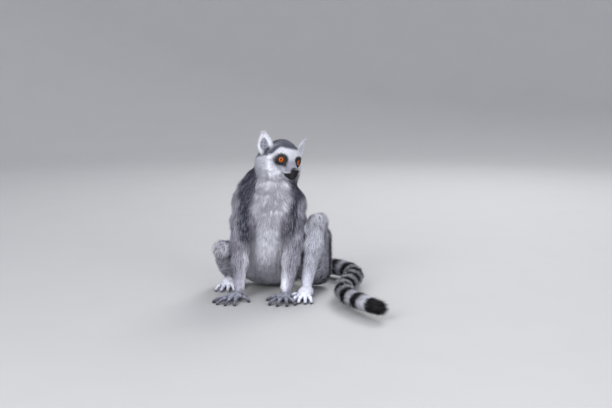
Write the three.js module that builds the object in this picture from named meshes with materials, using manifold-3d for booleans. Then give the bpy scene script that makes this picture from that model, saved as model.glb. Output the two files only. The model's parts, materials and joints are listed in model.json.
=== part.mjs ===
// A sitting ring-tailed lemur at life size, in millimetres, out to the tips of its coat.
// Z is up, the animal faces -Y, and +X is to its own left. The origin is the middle of its seat.
// Every solid is a sphere whose vertices are moved out to where a body function turns positive.
// Solids are made in turn, and each gives way to those before it, with a thin gap between them.

import * as THREE from 'three';
import { mergeVertices } from 'three/addons/utils/BufferGeometryUtils.js';
import Module from 'manifold-3d';

const wasm = await Module();
wasm.setup();

const point = (x, y, z) => new THREE.Vector3(x, y, z);

const GAP = 0.3; // between neighbouring solids
const BLEND = 22; // how softly the forms inside one solid run together
const MARCH = 3; // step of a ray that looks for the surface

// Joints of the skeleton, right then left.
const SHOULDER = [point(-53, -36, 187), point(45, -40, 184)];
const ELBOW = [point(-65, -88, 103), point(50, -88, 109)];
const WRIST = [point(-64, -134, 24), point(34, -138, 24)];
const HIP = [point(-42, 16, 58), point(48, 2, 62)];
const KNEE = [point(-102, -84, 95), point(101, -90, 155)];
const ANKLE = [point(-92, 12, 27), point(77, -104, 29)];
const NECK_BASE = point(2, -34, 222);
const NECK_TOP = point(14, -44, 262);
const SPINE = [point(0, 2, 38), point(0, -8, 112), point(-1, -22, 170), NECK_BASE, NECK_TOP];
const WAIST_HEIGHT = 126; // where the abdomen meets the chest
const COLLAR_HEIGHT = 212; // where the chest meets the neck

// The head: its centre, and how it turns, nods and tilts.
const HEAD_CENTRE = point(23, -58, 283);
const HEAD_TURN = THREE.MathUtils.degToRad(29);
const HEAD_NOD = THREE.MathUtils.degToRad(1);
const HEAD_TILT = THREE.MathUtils.degToRad(12);
const EYE_PLACE = point(17.5, -29.5, 0.5); // in the head's own axes, left side
const EYE_RADIUS = 8.8;
const EYE_FACING = point(0.46, -0.88, 0.03);
const LID_RADIUS = 6.4; // of the opening between the lids
const NOSE_PLACE = point(0, -70, -17);
const NOSE_RADII = point(7.5, 6, 5.5);
const EAR_ROOT = point(35, 3, 0);
const EAR_TIP = point(51, 7, 52);
const EAR_HALF_WIDTH = 19;
const EAR_HALF_DEPTH = 5;
const EAR_CUP = 6; // how deep the front of the ear is hollowed
const EAR_FACING = THREE.MathUtils.degToRad(38); // outward from straight ahead

// Coat radii of the limbs, from the body outwards.
const UPPER_ARM_RADII = [[34, 26], [34, 25]];
const FOREARM_RADII = [[24, 15], [25, 17]];
const THIGH_RADII = [[46, 24], [46, 24]];
const SHIN_RADII = [[19, 17], [19, 17]];
const CALF_FULLNESS = 4;

// Hands and feet: where they point, and each digit's turn from there and length.
const HAND_HEADING = [THREE.MathUtils.degToRad(-24), THREE.MathUtils.degToRad(-8)];
const HAND_DIGITS = [[66, 30], [20, 41], [4, 46], [-12, 45], [-29, 36]];
const PALM_RADII = point(14, 21, 10);
const PALM_AHEAD = 16; // of the wrist
const PALM_HEIGHT = 9;
const FOOT_HEADING = [THREE.MathUtils.degToRad(-4), THREE.MathUtils.degToRad(-8)];
const FOOT_DIGITS = [[48, 34], [13, 33], [3, 37], [-7, 38], [-17, 34]];
const SOLE_RADII = point(17, 40, 14);
const SOLE_AHEAD = 22; // of the ankle
const SOLE_HEIGHT = 11;
const DIGIT_RADIUS = 4.6; // at the knuckle, the middle joint and the tip
const BEND_RADIUS = 4.2;
const TIP_RADIUS = 3.6;
const KNUCKLE_HEIGHT = 8;
const BEND_HEIGHT = 9;
const TIP_HEIGHT = 3.2;
const HAND_SPREAD = 10; // between the outer knuckles and the middle line
const FOOT_SPREAD = 11;

// The tail, laid on the ground round the animal's left side.
const TAIL_PATH = [
  point(6, 46, 38), point(52, 88, 28), point(112, 90, 25), point(160, 52, 25), point(178, -12, 25),
  point(168, -82, 25), point(154, -148, 25), point(160, -216, 25), point(184, -280, 25), point(218, -336, 25),
];
const TAIL_LENGTHS = 6;
const TAIL_RADIUS = 37;
const TAIL_ROOT_RADIUS = 27;
const TAIL_FLATNESS = 0.86; // height of the tail's section against its width

// Nets of the surfaces: faces around the form, rows along its path and rows in each domed end.
const TRUNK_NET = { around: 18, along: 11, domed: 3 };
const UPPER_ARM_NET = { around: 11, along: 3, domed: 2 };
const FOREARM_NET = { around: 10, along: 3, domed: 2 };
const SHIN_NET = { around: 10, along: 4, domed: 2 };
const THIGH_NET = { around: 12, along: 5, domed: 2 };
const PALM_NET = { around: 8, along: 2, domed: 2 };
const DIGIT_NET = { around: 6, along: 2, domed: 2 };
const LID_NET = { around: 10, along: 1, domed: 1 };
const EAR_NET = { around: 12, rows: 7 };
const NOSE_NET = { around: 10, rows: 6 };
const TAIL_NET = { around: 11, along: 6 };
const HEAD_DETAIL = 6; // splits of each edge of an icosahedron
const EYE_DETAIL = 1;

const GREY = 0x8f8d92;
const PALE = 0xdedbe0;
const SLATE = 0x4b4a52;
const WHITE = 0xf2f0f2;
const AMBER = 0xc8641c;
const BLACK = 0x17161a;

// ---------------------------------------------------------------- body functions, negative inside

/** An ellipsoid, turned about the upright by heading. */
function ball(centre, radii, heading = 0) {
  const upright = point(0, 0, 1);
  return (spot) => {
    const local = spot.clone().sub(centre).applyAxisAngle(upright, -heading);
    const near = local.clone().divide(radii).length();
    const slope = local.clone().divide(radii).divide(radii).length();
    return slope > 0 ? (near * (near - 1)) / slope : -Math.min(radii.x, radii.y, radii.z);
  };
}

/** A rounded rod between two points that tapers from one radius to the other. */
function rod(start, end, startRadius, endRadius) {
  const line = new THREE.Line3(start, end);
  const nearest = point(0, 0, 0);
  return (spot) => {
    const share = line.closestPointToPointParameter(spot, true);
    line.at(share, nearest);
    return spot.distanceTo(nearest) - THREE.MathUtils.lerp(startRadius, endRadius, share);
  };
}

/** The union of several forms, run together over the softness. */
function blend(softness, ...forms) {
  return (spot) => forms.map((form) => form(spot)).reduce((first, second) => {
    const overlap = Math.max(softness - Math.abs(first - second), 0);
    return Math.min(first, second) - (overlap * overlap) / (4 * softness);
  });
}

// ---------------------------------------------------------------- surfaces

/** A closed surface: a sphere whose rows and turns are moved to where place puts them. */
function surface(around, rows, place) {
  const geometry = new THREE.SphereGeometry(1, around, rows);
  const spots = geometry.attributes.position;
  for (let row = 0; row <= rows; row += 1) {
    for (let column = 0; column <= around; column += 1) {
      const turn = ((column % around) / around) * 2 * Math.PI;
      const spot = place(row, turn);
      spots.setXYZ(row * (around + 1) + column, spot.x, spot.y, spot.z);
    }
  }
  return geometry;
}

/** Where a ray from inside a form leaves it. */
function exit(origin, direction, form, grow) {
  const spot = point(0, 0, 0);
  const value = (reach) => form(spot.copy(direction).multiplyScalar(reach).add(origin)) - grow;
  let outside = MARCH;
  while (value(outside) < 0) outside += MARCH;
  let inside = outside - MARCH;
  while (outside - inside > 0.001) {
    const middle = (inside + outside) / 2;
    if (value(middle) < 0) inside = middle;
    else outside = middle;
  }
  return direction.clone().multiplyScalar(outside).add(origin);
}

/** The direction at one turn round a path whose own direction is ahead. */
function outward(ahead, turn) {
  const upright = Math.abs(ahead.z) > 0.9 ? point(1, 0, 0) : point(0, 0, 1);
  const side = upright.addScaledVector(ahead, -upright.dot(ahead)).normalize();
  const other = ahead.clone().cross(side);
  return side.multiplyScalar(-Math.cos(turn)).addScaledVector(other, Math.sin(turn));
}

/** The form wrapped round a path that runs inside it, with domed ends. */
function wrapped(form, path, { around, along, domed }, grow) {
  const curve = new THREE.CatmullRomCurve3(path);
  const rows = along + 2 * domed;
  return surface(around, rows, (row, turn) => {
    const share = THREE.MathUtils.clamp((row - domed) / along, 0, 1);
    const ahead = curve.getTangentAt(share).normalize();
    const fromStart = Math.min(row / domed, 1);
    const fromEnd = Math.min((rows - row) / domed, 1);
    const lean = (fromStart < 1 ? fromStart - 1 : 1 - fromEnd) * (Math.PI / 2);
    const direction = outward(ahead, turn).multiplyScalar(Math.cos(lean));
    if (Math.abs(lean) > 1.57) direction.set(0, 0, 0);
    direction.addScaledVector(ahead, Math.sin(lean));
    return exit(curve.getPointAt(share), direction.normalize(), form, grow);
  });
}

/** The form seen from one point inside it, on an even net of triangles. */
function blown(form, centre, detail, grow) {
  const geometry = new THREE.IcosahedronGeometry(1, detail);
  const spots = geometry.attributes.position;
  for (let index = 0; index < spots.count; index += 1) {
    const direction = point(0, 0, 0).fromBufferAttribute(spots, index).normalize();
    const spot = exit(centre, direction, form, grow);
    spots.setXYZ(index, spot.x, spot.y, spot.z);
  }
  return geometry;
}

function toSolid(geometry) {
  geometry.deleteAttribute('normal');
  geometry.deleteAttribute('uv');
  const merged = mergeVertices(geometry, 0.002);
  return new wasm.Manifold(new wasm.Mesh({
    numProp: 3,
    vertProperties: new Float32Array(merged.attributes.position.array),
    triVerts: new Uint32Array(merged.index.array),
  }));
}

function toMesh(name, solid, colour) {
  const { vertProperties, triVerts } = solid.getMesh();
  const geometry = new THREE.BufferGeometry();
  geometry.setAttribute('position', new THREE.BufferAttribute(vertProperties, 3));
  geometry.setIndex(new THREE.BufferAttribute(triVerts, 1));
  geometry.computeVertexNormals();
  const material = new THREE.MeshStandardMaterial({ color: colour, roughness: 0.9, metalness: 0 });
  const mesh = new THREE.Mesh(geometry, material);
  mesh.name = name;
  return mesh;
}

// ---------------------------------------------------------------- the head, in its own axes

const headFrame = new THREE.Matrix4()
  .makeRotationFromEuler(new THREE.Euler(HEAD_NOD, HEAD_TILT, HEAD_TURN, 'ZXY'))
  .setPosition(HEAD_CENTRE);
const headInverse = headFrame.clone().invert();
const onHead = (place) => place.clone().applyMatrix4(headFrame);
const mirrored = (place, side) => point(place.x * side, place.y, place.z);

function headForm() {
  const local = blend(
    BLEND / 2,
    ball(point(0, 3, 6), point(37, 42, 40)),
    ball(point(0, -18, 10), point(30, 24, 27)),
    ball(point(22, 14, -12), point(29, 34, 33)),
    ball(point(-22, 14, -12), point(29, 34, 33)),
    ball(point(19, -26, 1), point(13, 12, 13)),
    ball(point(-19, -26, 1), point(13, 12, 13)),
    rod(point(0, -28, -9), point(0, -60, -19), 19, 11.5),
    rod(point(0, -24, -24), point(0, -57, -29), 15, 8),
  );
  const spotInHead = point(0, 0, 0);
  return (spot) => local(spotInHead.copy(spot).applyMatrix4(headInverse));
}

function eye(side, grow) {
  const geometry = new THREE.IcosahedronGeometry(EYE_RADIUS + grow, EYE_DETAIL);
  const place = onHead(mirrored(EYE_PLACE, side));
  return toSolid(geometry.translate(place.x, place.y, place.z));
}

/** The head with an opening between the lids in front of each eye. */
function head(grow) {
  const solid = toSolid(blown(headForm(), HEAD_CENTRE, HEAD_DETAIL, grow));
  if (grow > 0) return solid;
  return [-1, 1].reduce((carved, side) => {
    const place = mirrored(EYE_PLACE, side);
    const front = place.clone().addScaledVector(mirrored(EYE_FACING, side), 3 * EYE_RADIUS);
    const path = [onHead(place), onHead(front)];
    const opening = rod(...path, LID_RADIUS, 2 * LID_RADIUS);
    return carved.subtract(toSolid(wrapped(opening, path, LID_NET, 0)));
  }, solid);
}

function nose(grow) {
  const geometry = new THREE.SphereGeometry(1, NOSE_NET.around, NOSE_NET.rows);
  geometry.scale(NOSE_RADII.x + grow, NOSE_RADII.y + grow, NOSE_RADII.z + grow);
  geometry.translate(NOSE_PLACE.x, NOSE_PLACE.y, NOSE_PLACE.z).applyMatrix4(headFrame);
  return toSolid(geometry);
}

/** A cupped ear: rows climb from root to tip, turns run round its edge. */
function ear(side, grow) {
  const { around, rows } = EAR_NET;
  const root = mirrored(EAR_ROOT, side);
  const tip = mirrored(EAR_TIP, side);
  const up = tip.clone().sub(root).normalize();
  const facing = point(side * Math.sin(EAR_FACING), -Math.cos(EAR_FACING), 0);
  facing.addScaledVector(up, -facing.dot(up)).normalize();
  const across = up.clone().cross(facing);
  const height = tip.distanceTo(root) + 2 * grow;
  return toSolid(surface(around, rows, (row, turn) => {
    const share = 1 - row / rows;
    const outline = Math.sin(Math.PI * share ** 0.9) ** 0.55 * (1 - 0.3 * share ** 3);
    const width = Math.max(outline, 0) * EAR_HALF_WIDTH + grow;
    const depth = Math.sqrt(Math.max(outline, 0)) * EAR_HALF_DEPTH + grow;
    const cup = Math.sin(turn) > 0 ? EAR_CUP * outline * Math.sin(turn) ** 2 : 0;
    const closed = row === 0 || row === rows ? 0 : 1;
    return root.clone()
      .addScaledVector(up, share * height - grow)
      .addScaledVector(across, -Math.cos(turn) * width * closed)
      .addScaledVector(facing, (Math.sin(turn) * depth - cup) * closed)
      .applyMatrix4(headFrame);
  }));
}

// ---------------------------------------------------------------- trunk, limbs and tail

const trunkForm = blend(
  BLEND,
  ball(point(0, 4, 50), point(76, 60, 54)),
  ball(point(-2, -22, 82), point(67, 62, 66)),
  ball(point(0, 6, 112), point(63, 49, 44)),
  ball(point(-2, -10, 150), point(60, 55, 52)),
  ball(point(-34, -28, 195), point(36, 38, 33)),
  ball(point(26, -28, 184), point(35, 38, 32)),
  ball(point(0, -38, 176), point(46, 41, 44)),
  rod(point(-2, -36, 98), point(0, -38, 156), 39, 37),
  ball(point(6, -56, 228), point(34, 29, 34)),
  rod(NECK_BASE, NECK_TOP, 42, 44),
  rod(point(-14, -30, 258), point(-38, -30, 222), 22, 28),
  rod(point(26, -36, 250), point(36, -36, 215), 20, 22),
);

/** The part of the trunk between two heights. */
function trunk(low, high) {
  return (grow) => {
    const thickness = high - low - GAP + 2 * grow;
    const slab = new THREE.BoxGeometry(400, 400, thickness).translate(0, 0, (low + high) / 2);
    return toSolid(wrapped(trunkForm, SPINE, TRUNK_NET, grow)).intersect(toSolid(slab));
  };
}

const HAUNCH = [
  rod(point(-82, -10, 46), point(-88, -40, 62), 36, 32),
  rod(point(92, -20, 41), point(96, -46, 110), 43, 38),
];
const HAUNCH_DROP = 14; // of the thigh's middle line below the bone

/** A long bone's flesh and coat, fuller in the middle than a plain taper. */
function limbForm(start, end, [startRadius, endRadius], fullness) {
  const middle = start.clone().lerp(end, 0.4);
  const middleRadius = THREE.MathUtils.lerp(startRadius, endRadius, 0.4) + fullness;
  return blend(
    BLEND / 2,
    rod(start, middle, startRadius, middleRadius),
    rod(middle, end, middleRadius, endRadius),
  );
}

function limb(start, end, radii, fullness, net) {
  const form = limbForm(start, end, radii, fullness);
  return (grow) => toSolid(wrapped(form, [start, end], net, grow));
}

/** A thigh with the folded haunch that spreads on the ground beside it. */
function thigh(side) {
  const form = blend(BLEND, limbForm(HIP[side], KNEE[side], THIGH_RADII[side], 0), HAUNCH[side]);
  const middle = HIP[side].clone().lerp(KNEE[side], 0.5);
  middle.z -= HAUNCH_DROP;
  return (grow) => toSolid(wrapped(form, [HIP[side], middle, KNEE[side]], THIGH_NET, grow));
}

/** The direction of a digit, turned towards the thumb side from the heading. */
function digitHeading(heading, turn, side) {
  const angle = heading + THREE.MathUtils.degToRad(side === 0 ? turn : -turn);
  return point(Math.sin(angle), -Math.cos(angle), 0);
}

/** A palm or sole with its five digits, each arched from knuckle to tip. */
function extremity(side, middle, radii, heading, digits, spread) {
  const base = ball(middle, radii, heading);
  return (grow) => {
    let solid = toSolid(wrapped(base, [
      middle.clone().addScaledVector(digitHeading(heading, 0, side), -radii.y / 2),
      middle.clone().addScaledVector(digitHeading(heading, 0, side), radii.y / 2),
    ], PALM_NET, grow));
    digits.forEach(([turn, length], index) => {
      const ahead = digitHeading(heading, turn, side);
      const straight = digitHeading(heading, 0, side);
      const across = digitHeading(heading, 90, side);
      const knuckle = middle.clone()
        .addScaledVector(straight, index === 0 ? 0 : radii.y * 0.72)
        .addScaledVector(across, spread * (index === 0 ? 0.8 : (2.5 - index) / 1.5));
      const bend = knuckle.clone().addScaledVector(ahead, length * 0.5);
      const tip = knuckle.clone().addScaledVector(ahead, length);
      knuckle.z = KNUCKLE_HEIGHT;
      bend.z = BEND_HEIGHT;
      tip.z = TIP_HEIGHT;
      const form = blend(
        DIGIT_RADIUS,
        rod(knuckle, bend, DIGIT_RADIUS, BEND_RADIUS),
        rod(bend, tip, BEND_RADIUS, TIP_RADIUS),
      );
      solid = solid.add(toSolid(wrapped(form, [knuckle, bend, tip], DIGIT_NET, grow)));
    });
    return solid;
  };
}

function hand(side) {
  const heading = HAND_HEADING[side];
  const middle = WRIST[side].clone().addScaledVector(digitHeading(heading, 0, side), PALM_AHEAD);
  middle.z = PALM_HEIGHT;
  return extremity(side, middle, PALM_RADII, heading, HAND_DIGITS, HAND_SPREAD);
}

function foot(side) {
  const heading = FOOT_HEADING[side];
  const middle = ANKLE[side].clone().addScaledVector(digitHeading(heading, 0, side), SOLE_AHEAD);
  middle.z = SOLE_HEIGHT;
  return extremity(side, middle, SOLE_RADII, heading, FOOT_DIGITS, FOOT_SPREAD);
}

const tailCurve = new THREE.CatmullRomCurve3(TAIL_PATH);

/** Coat radius along the tail: it fills out from the root and rounds off at the tip. */
function tailRadius(share) {
  const filled = THREE.MathUtils.lerp(TAIL_ROOT_RADIUS, TAIL_RADIUS, Math.min(share / 0.2, 1));
  const slimmed = filled * (1 - 0.16 * THREE.MathUtils.smoothstep(share, 0.45, 0.95));
  return slimmed * Math.sqrt(Math.max(1 - Math.max((share - 0.93) / 0.07, 0) ** 2, 0));
}

/** One length of the tail, between two shares of the whole, with flat ends. */
function tailLength(from, to) {
  return (grow) => {
    const { around, along } = TAIL_NET;
    const total = tailCurve.getLength();
    return toSolid(surface(around, along + 2, (row, turn) => {
      const step = THREE.MathUtils.clamp((row - 1) / along, 0, 1);
      const reach = grow / total;
      const share = THREE.MathUtils.clamp(THREE.MathUtils.lerp(from - reach, to + reach, step), 0, 1);
      const closed = row === 0 || row === along + 2 ? 0 : 1;
      const radius = (tailRadius(share) + grow) * closed;
      const direction = outward(tailCurve.getTangentAt(share), turn);
      direction.z *= TAIL_FLATNESS;
      return direction.multiplyScalar(radius).add(tailCurve.getPointAt(share));
    }));
  };
}

// ---------------------------------------------------------------- assembly

const sides = ['right', 'left'];
const plans = [
  ['eye_right', AMBER, (grow) => eye(-1, grow)],
  ['eye_left', AMBER, (grow) => eye(1, grow)],
  ['nose', BLACK, nose],
  ['head', PALE, head],
  ['ear_right', WHITE, (grow) => ear(-1, grow)],
  ['ear_left', WHITE, (grow) => ear(1, grow)],
  ['abdomen', PALE, trunk(-100, WAIST_HEIGHT)],
  ['chest', GREY, trunk(WAIST_HEIGHT, COLLAR_HEIGHT)],
  ['neck', SLATE, trunk(COLLAR_HEIGHT, 400)],
];
sides.forEach((name, side) => {
  const upperArm = limb(SHOULDER[side], ELBOW[side], UPPER_ARM_RADII[side], 0, UPPER_ARM_NET);
  const forearm = limb(ELBOW[side], WRIST[side], FOREARM_RADII[side], -1, FOREARM_NET);
  plans.push([`upper_arm_${name}`, SLATE, upperArm], [`forearm_${name}`, GREY, forearm]);
});
sides.forEach((name, side) => {
  const shin = limb(KNEE[side], ANKLE[side], SHIN_RADII[side], CALF_FULLNESS, SHIN_NET);
  plans.push([`shin_${name}`, GREY, shin]);
  plans.push([`thigh_${name}`, GREY, thigh(side)]);
  plans.push([`foot_${name}`, WHITE, foot(side)]);
  plans.push([`hand_${name}`, GREY, hand(side)]);
});
for (let index = 0; index < TAIL_LENGTHS; index += 1) {
  const inset = GAP / 2 / tailCurve.getLength();
  const from = index / TAIL_LENGTHS + (index > 0 ? inset : 0);
  const to = (index + 1) / TAIL_LENGTHS - (index < TAIL_LENGTHS - 1 ? inset : 0);
  plans.push([`tail_${index + 1}`, index % 2 ? BLACK : WHITE, tailLength(from, to)]);
}

const ground = toSolid(new THREE.BoxGeometry(2000, 2000, 200).translate(0, 0, -100));

function boxesMeet(first, second) {
  const a = first.boundingBox();
  const b = second.boundingBox();
  return [0, 1, 2].every((axis) => a.min[axis] < b.max[axis] && b.min[axis] < a.max[axis]);
}

const largest = (solid) => solid.decompose().reduce((a, b) => (a.volume() > b.volume() ? a : b));

const lemur = new THREE.Group();
const earlier = [];
plans.forEach(([name, colour, make]) => {
  let solid = make(0).subtract(ground);
  earlier.filter((other) => boxesMeet(other, solid)).forEach((other) => {
    solid = solid.subtract(other);
  });
  lemur.add(toMesh(name, largest(solid), colour));
  earlier.push(make(GAP));
});

export default lemur;
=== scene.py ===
"""A sitting ring-tailed lemur: its skin, eyes, nose, nails and coat of mesh tufts, and the stage.

The forms of the body are functions of a spot, in millimetres, negative inside. They repeat the
solids of the frame, out to the tips of the coat. The skin lies inside them by the coat's depth.
"""

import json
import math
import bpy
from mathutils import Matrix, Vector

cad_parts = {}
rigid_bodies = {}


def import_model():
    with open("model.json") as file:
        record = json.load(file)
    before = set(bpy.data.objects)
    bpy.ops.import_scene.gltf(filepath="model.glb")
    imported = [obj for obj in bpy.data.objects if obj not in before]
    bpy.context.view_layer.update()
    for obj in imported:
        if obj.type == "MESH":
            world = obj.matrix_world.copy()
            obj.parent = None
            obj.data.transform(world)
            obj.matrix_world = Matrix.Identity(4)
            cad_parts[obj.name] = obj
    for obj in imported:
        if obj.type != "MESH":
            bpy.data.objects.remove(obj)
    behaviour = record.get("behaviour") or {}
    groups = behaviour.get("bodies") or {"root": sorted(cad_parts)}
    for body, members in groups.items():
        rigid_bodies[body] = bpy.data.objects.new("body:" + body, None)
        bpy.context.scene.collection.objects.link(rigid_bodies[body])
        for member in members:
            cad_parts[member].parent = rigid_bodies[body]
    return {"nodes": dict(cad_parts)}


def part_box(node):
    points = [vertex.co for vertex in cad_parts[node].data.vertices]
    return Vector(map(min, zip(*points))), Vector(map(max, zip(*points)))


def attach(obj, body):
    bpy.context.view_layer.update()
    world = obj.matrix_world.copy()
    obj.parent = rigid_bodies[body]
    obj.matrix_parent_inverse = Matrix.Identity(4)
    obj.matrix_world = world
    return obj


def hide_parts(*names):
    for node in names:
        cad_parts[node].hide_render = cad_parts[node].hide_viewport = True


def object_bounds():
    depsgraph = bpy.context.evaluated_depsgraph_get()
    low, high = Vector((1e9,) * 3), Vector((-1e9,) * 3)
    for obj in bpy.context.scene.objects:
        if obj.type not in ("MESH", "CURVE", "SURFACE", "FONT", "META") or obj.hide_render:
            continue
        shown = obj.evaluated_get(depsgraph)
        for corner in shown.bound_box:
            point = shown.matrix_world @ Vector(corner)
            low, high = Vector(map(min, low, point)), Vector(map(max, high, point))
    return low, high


bl_info = {
    "name": "Ring-tailed Lemur",
    "version": (1, 0, 0),
    "blender": (4, 5, 0),
    "location": "View3D > Sidebar > Lemur",
    "description": "Builds the skin, face and coat of a sitting ring-tailed lemur",
    "category": "Object",
}

import bmesh
import bpy
import numpy as np
from mathutils import Matrix, Vector

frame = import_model()
CAD_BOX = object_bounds()

MM = 0.001
FAR = 20.0  # what a form answers outside its own surroundings
RIGHT, LEFT = 0, 1
SIDES = ((RIGHT, -1, "right"), (LEFT, 1, "left"))


def spot(*place):
    return np.array(place, float)


# ---------------------------------------------------------------- places of the skeleton

SHOULDER = (spot(-53, -36, 187), spot(45, -40, 184))
ELBOW = (spot(-65, -88, 103), spot(50, -88, 109))
WRIST = (spot(-64, -134, 24), spot(34, -138, 24))
HIP = (spot(-42, 16, 58), spot(48, 2, 62))
KNEE = (spot(-102, -84, 95), spot(101, -90, 155))
ANKLE = (spot(-92, 12, 27), spot(77, -104, 29))
NECK_BASE = spot(2, -34, 222)
NECK_TOP = spot(14, -44, 262)

HEAD_CENTRE = spot(23, -58, 283)
HEAD_TURN = math.radians(29)
HEAD_NOD = math.radians(1)
HEAD_TILT = math.radians(12)
HEAD_AXES = np.array(
    Matrix.Rotation(HEAD_TURN, 3, "Z")
    @ Matrix.Rotation(HEAD_NOD, 3, "X")
    @ Matrix.Rotation(HEAD_TILT, 3, "Y")
)
EYE_PLACE = spot(17.5, -29.5, 0.5)  # in the head's own axes, left side
EYE_RADIUS = 8.8
LID_THICKNESS = 1.3
LID_HALF_WIDTH = 6.7  # of the opening between the lids
LID_LOWER = 5.6  # how far the opening reaches below the eye's axis and above it
LID_UPPER = 4.6
IRIS_PUPIL = 0.072  # edge of the pupil, as a share of the half turn from the eye's axis
IRIS_EDGE = 0.205
EYE_FACING = spot(0.46, -0.88, 0.03) / np.linalg.norm((0.46, -0.88, 0.03))
NOSE_PLACE = spot(0, -70, -17)
NOSE_RADII = spot(7.5, 6, 5.5)
EAR_ROOT = spot(35, 3, 0)
EAR_TIP = spot(51, 7, 52)
EAR_HALF_WIDTH = 19
EAR_FACING = math.radians(38)

UPPER_ARM_RADII = ((34, 26), (34, 25))
FOREARM_RADII = ((24, 15), (25, 17))
THIGH_RADII = ((46, 24), (46, 24))
SHIN_RADII = ((19, 17), (19, 17))
HAUNCH = (
    (spot(-82, -10, 46), spot(-88, -40, 62), 36, 32),
    (spot(92, -20, 41), spot(96, -46, 110), 43, 38),
)

HAND_HEADING = (math.radians(-24), math.radians(-8))
HAND_DIGITS = ((66, 30), (20, 41), (4, 46), (-12, 45), (-29, 36))
PALM_RADII = spot(14, 21, 10)
PALM_AHEAD = 16
PALM_HEIGHT = 9
FOOT_HEADING = (math.radians(-4), math.radians(-8))
FOOT_DIGITS = ((48, 34), (13, 33), (3, 37), (-7, 38), (-17, 34))
SOLE_RADII = spot(17, 40, 14)
SOLE_AHEAD = 22
SOLE_HEIGHT = 11
HAND_SPREAD = 10
FOOT_SPREAD = 11
KNUCKLE_HEIGHT = 8
BEND_HEIGHT = 9
TIP_HEIGHT = 3.2
NAIL_LENGTH = 6.6
NAIL_HALF_WIDTH = 2.1
NAIL_DROP = 2.6  # how far its end is below its root

TAIL_PATH = (
    (6, 46, 38), (52, 88, 28), (112, 90, 25), (160, 52, 25), (178, -12, 25),
    (168, -82, 25), (154, -148, 25), (160, -216, 25), (184, -280, 25), (218, -336, 25),
)
TAIL_FLATNESS = 0.86
TAIL_STEPS = 9  # samples of the tail's line between two points of its path
RING_PITCH = 51.7  # from one black ring of the tail to the next
RING_BLACK = 27.0  # length of a black ring
RING_FIRST = 30.0  # where the first black ring starts

SKIN_STEP = 1.7  # of the skin's net
SKIN_KEPT = 0.42  # share of the net's faces that stay
NOSE_STEP = 0.42  # of the nose's finer net
NOSE_REACH = 14  # half the side of the box that the nose's net fills
BLOCK = 8  # steps along the side of a block of a net

LIMB_DEPTH = {"upper_arm": 7, "forearm": 5, "thigh": 9, "shin": 5}  # coat over a limb's skin
GROWTH = {  # softness of each part's joins, length and lift of its hair, share of its grizzle
    "trunk": (10, 24, 24, 0.5),
    "head": (20, 8, 20, 0.25),
    "upper_arm": (20, 19, 19, 0.8),
    "forearm": (8, 12, 20, 1.1),
    "thigh": (10, 18, 22, 1.2),
    "shin": (8, 11, 22, 1.1),
    "hand": (5, 4.8, 18, 0.5),
    "foot": (6, 4.5, 14, 0.3),
    "ear": (3.5, 6, 18, 0.5),
    "tail": (10, 24, 30, 0.15),
}
PLOTS = (  # each piece of coat: tufts, their width to their length, spread and wave
    ("coat_face", 19500, 0.11, 0.08, 0.22),
    ("coat_head", 16000, 0.056, 0.11, 0.35),
    ("coat_throat", 16000, 0.040, 0.11, 0.35),
    ("coat_belly", 11000, 0.040, 0.10, 0.28),
    ("coat_back", 13500, 0.046, 0.11, 0.5),
    ("coat_arms", 14500, 0.050, 0.11, 0.4),
    ("coat_leg_right", 12000, 0.048, 0.12, 0.45),
    ("coat_leg_left", 14000, 0.048, 0.12, 0.45),
    ("coat_hands_feet", 9000, 0.07, 0.08, 0.2),
    ("coat_tail_root", 12000, 0.040, 0.08, 0.22),
    ("coat_tail_end", 12000, 0.040, 0.08, 0.22),
)
PLOT_NUMBERS = {name: number for number, (name, *rest) in enumerate(PLOTS)}
COATED = [
    name for name in frame["nodes"] if not name.startswith("eye_") and name != "nose"
]
SWAYS = (-0.10, 0.0, 0.10)  # how far the tip of each kind of tuft sways aside
STRAND_BEND = 0.2  # how far its tip bends down, as a share of its length
LOCKS_PER_METRE = 80.0
PORE_DEPTH = 0.0004  # in metres

SHOULDER_BANDS = (  # dark bands beside the bib: the line of each, across and up, and half its width
    (((-27, 268), (-36, 248), (-46, 218), (-55, 192), (-56, 153), (-51, 128)), 16),
    (((48, 248), (52, 226), (51, 192), (49, 153), (38, 130)), 12),
)

SENSOR = 36.0
LENS = 69.5
AIM_ASIDE = 0.0748  # where the camera looks, aside of the seat and above it across the view
AIM_UP = 0.1782
LIGHTS = (  # name, place, aim, width and power
    ("Key", (-1.3, -2.4, 1.5), (0, 0, 0.15), 1.8, 74),
    ("Fill", (1.7, -2.4, 0.55), (0, 0, 0.15), 2.0, 62),
    ("Rim", (0.9, 2.0, 1.9), (0, 0, 0.2), 1.2, 45),
)
ROOM_LIGHT = (0.90, 0.93, 1.0, 1)
ROOM_STRENGTH = 1.15
FLOOR_LEVEL = 0.6  # share of the floor's reach that is level, before it rises into a wall
FLOOR_SECTORS = 96
FLOOR_ROWS = 16
WALL_HEIGHT = 0.8  # of the wall round the floor, as a share of the floor's reach


# ---------------------------------------------------------------- forms, negative inside

def smooth(low, high, value):
    """0 at low and 1 at high, with a soft start and end."""
    share = np.clip((value - low) / (high - low), 0, 1)
    return share * share * (3 - 2 * share)


def unit(vectors):
    return vectors / np.maximum(np.linalg.norm(vectors, axis=-1, keepdims=True), 1e-9)


def soft_min(first, second, softness):
    overlap = np.maximum(softness - np.abs(first - second), 0)
    return np.minimum(first, second) - overlap * overlap / (4 * softness)


def soft_cut(body, cutter, softness):
    return -soft_min(-body, cutter, softness)


def ball(centre, radii, heading=0.0):
    """An ellipsoid, turned about the upright by heading."""
    centre = np.array(centre, float)
    radii = np.array(radii, float)
    turn = np.array(Matrix.Rotation(heading, 3, "Z"))

    def form(spots):
        local = (spots - centre) @ turn / radii
        near = np.linalg.norm(local, axis=1)
        slope = np.maximum(np.linalg.norm(local / radii, axis=1), 1e-6)
        return near * (near - 1) / slope

    return form


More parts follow.
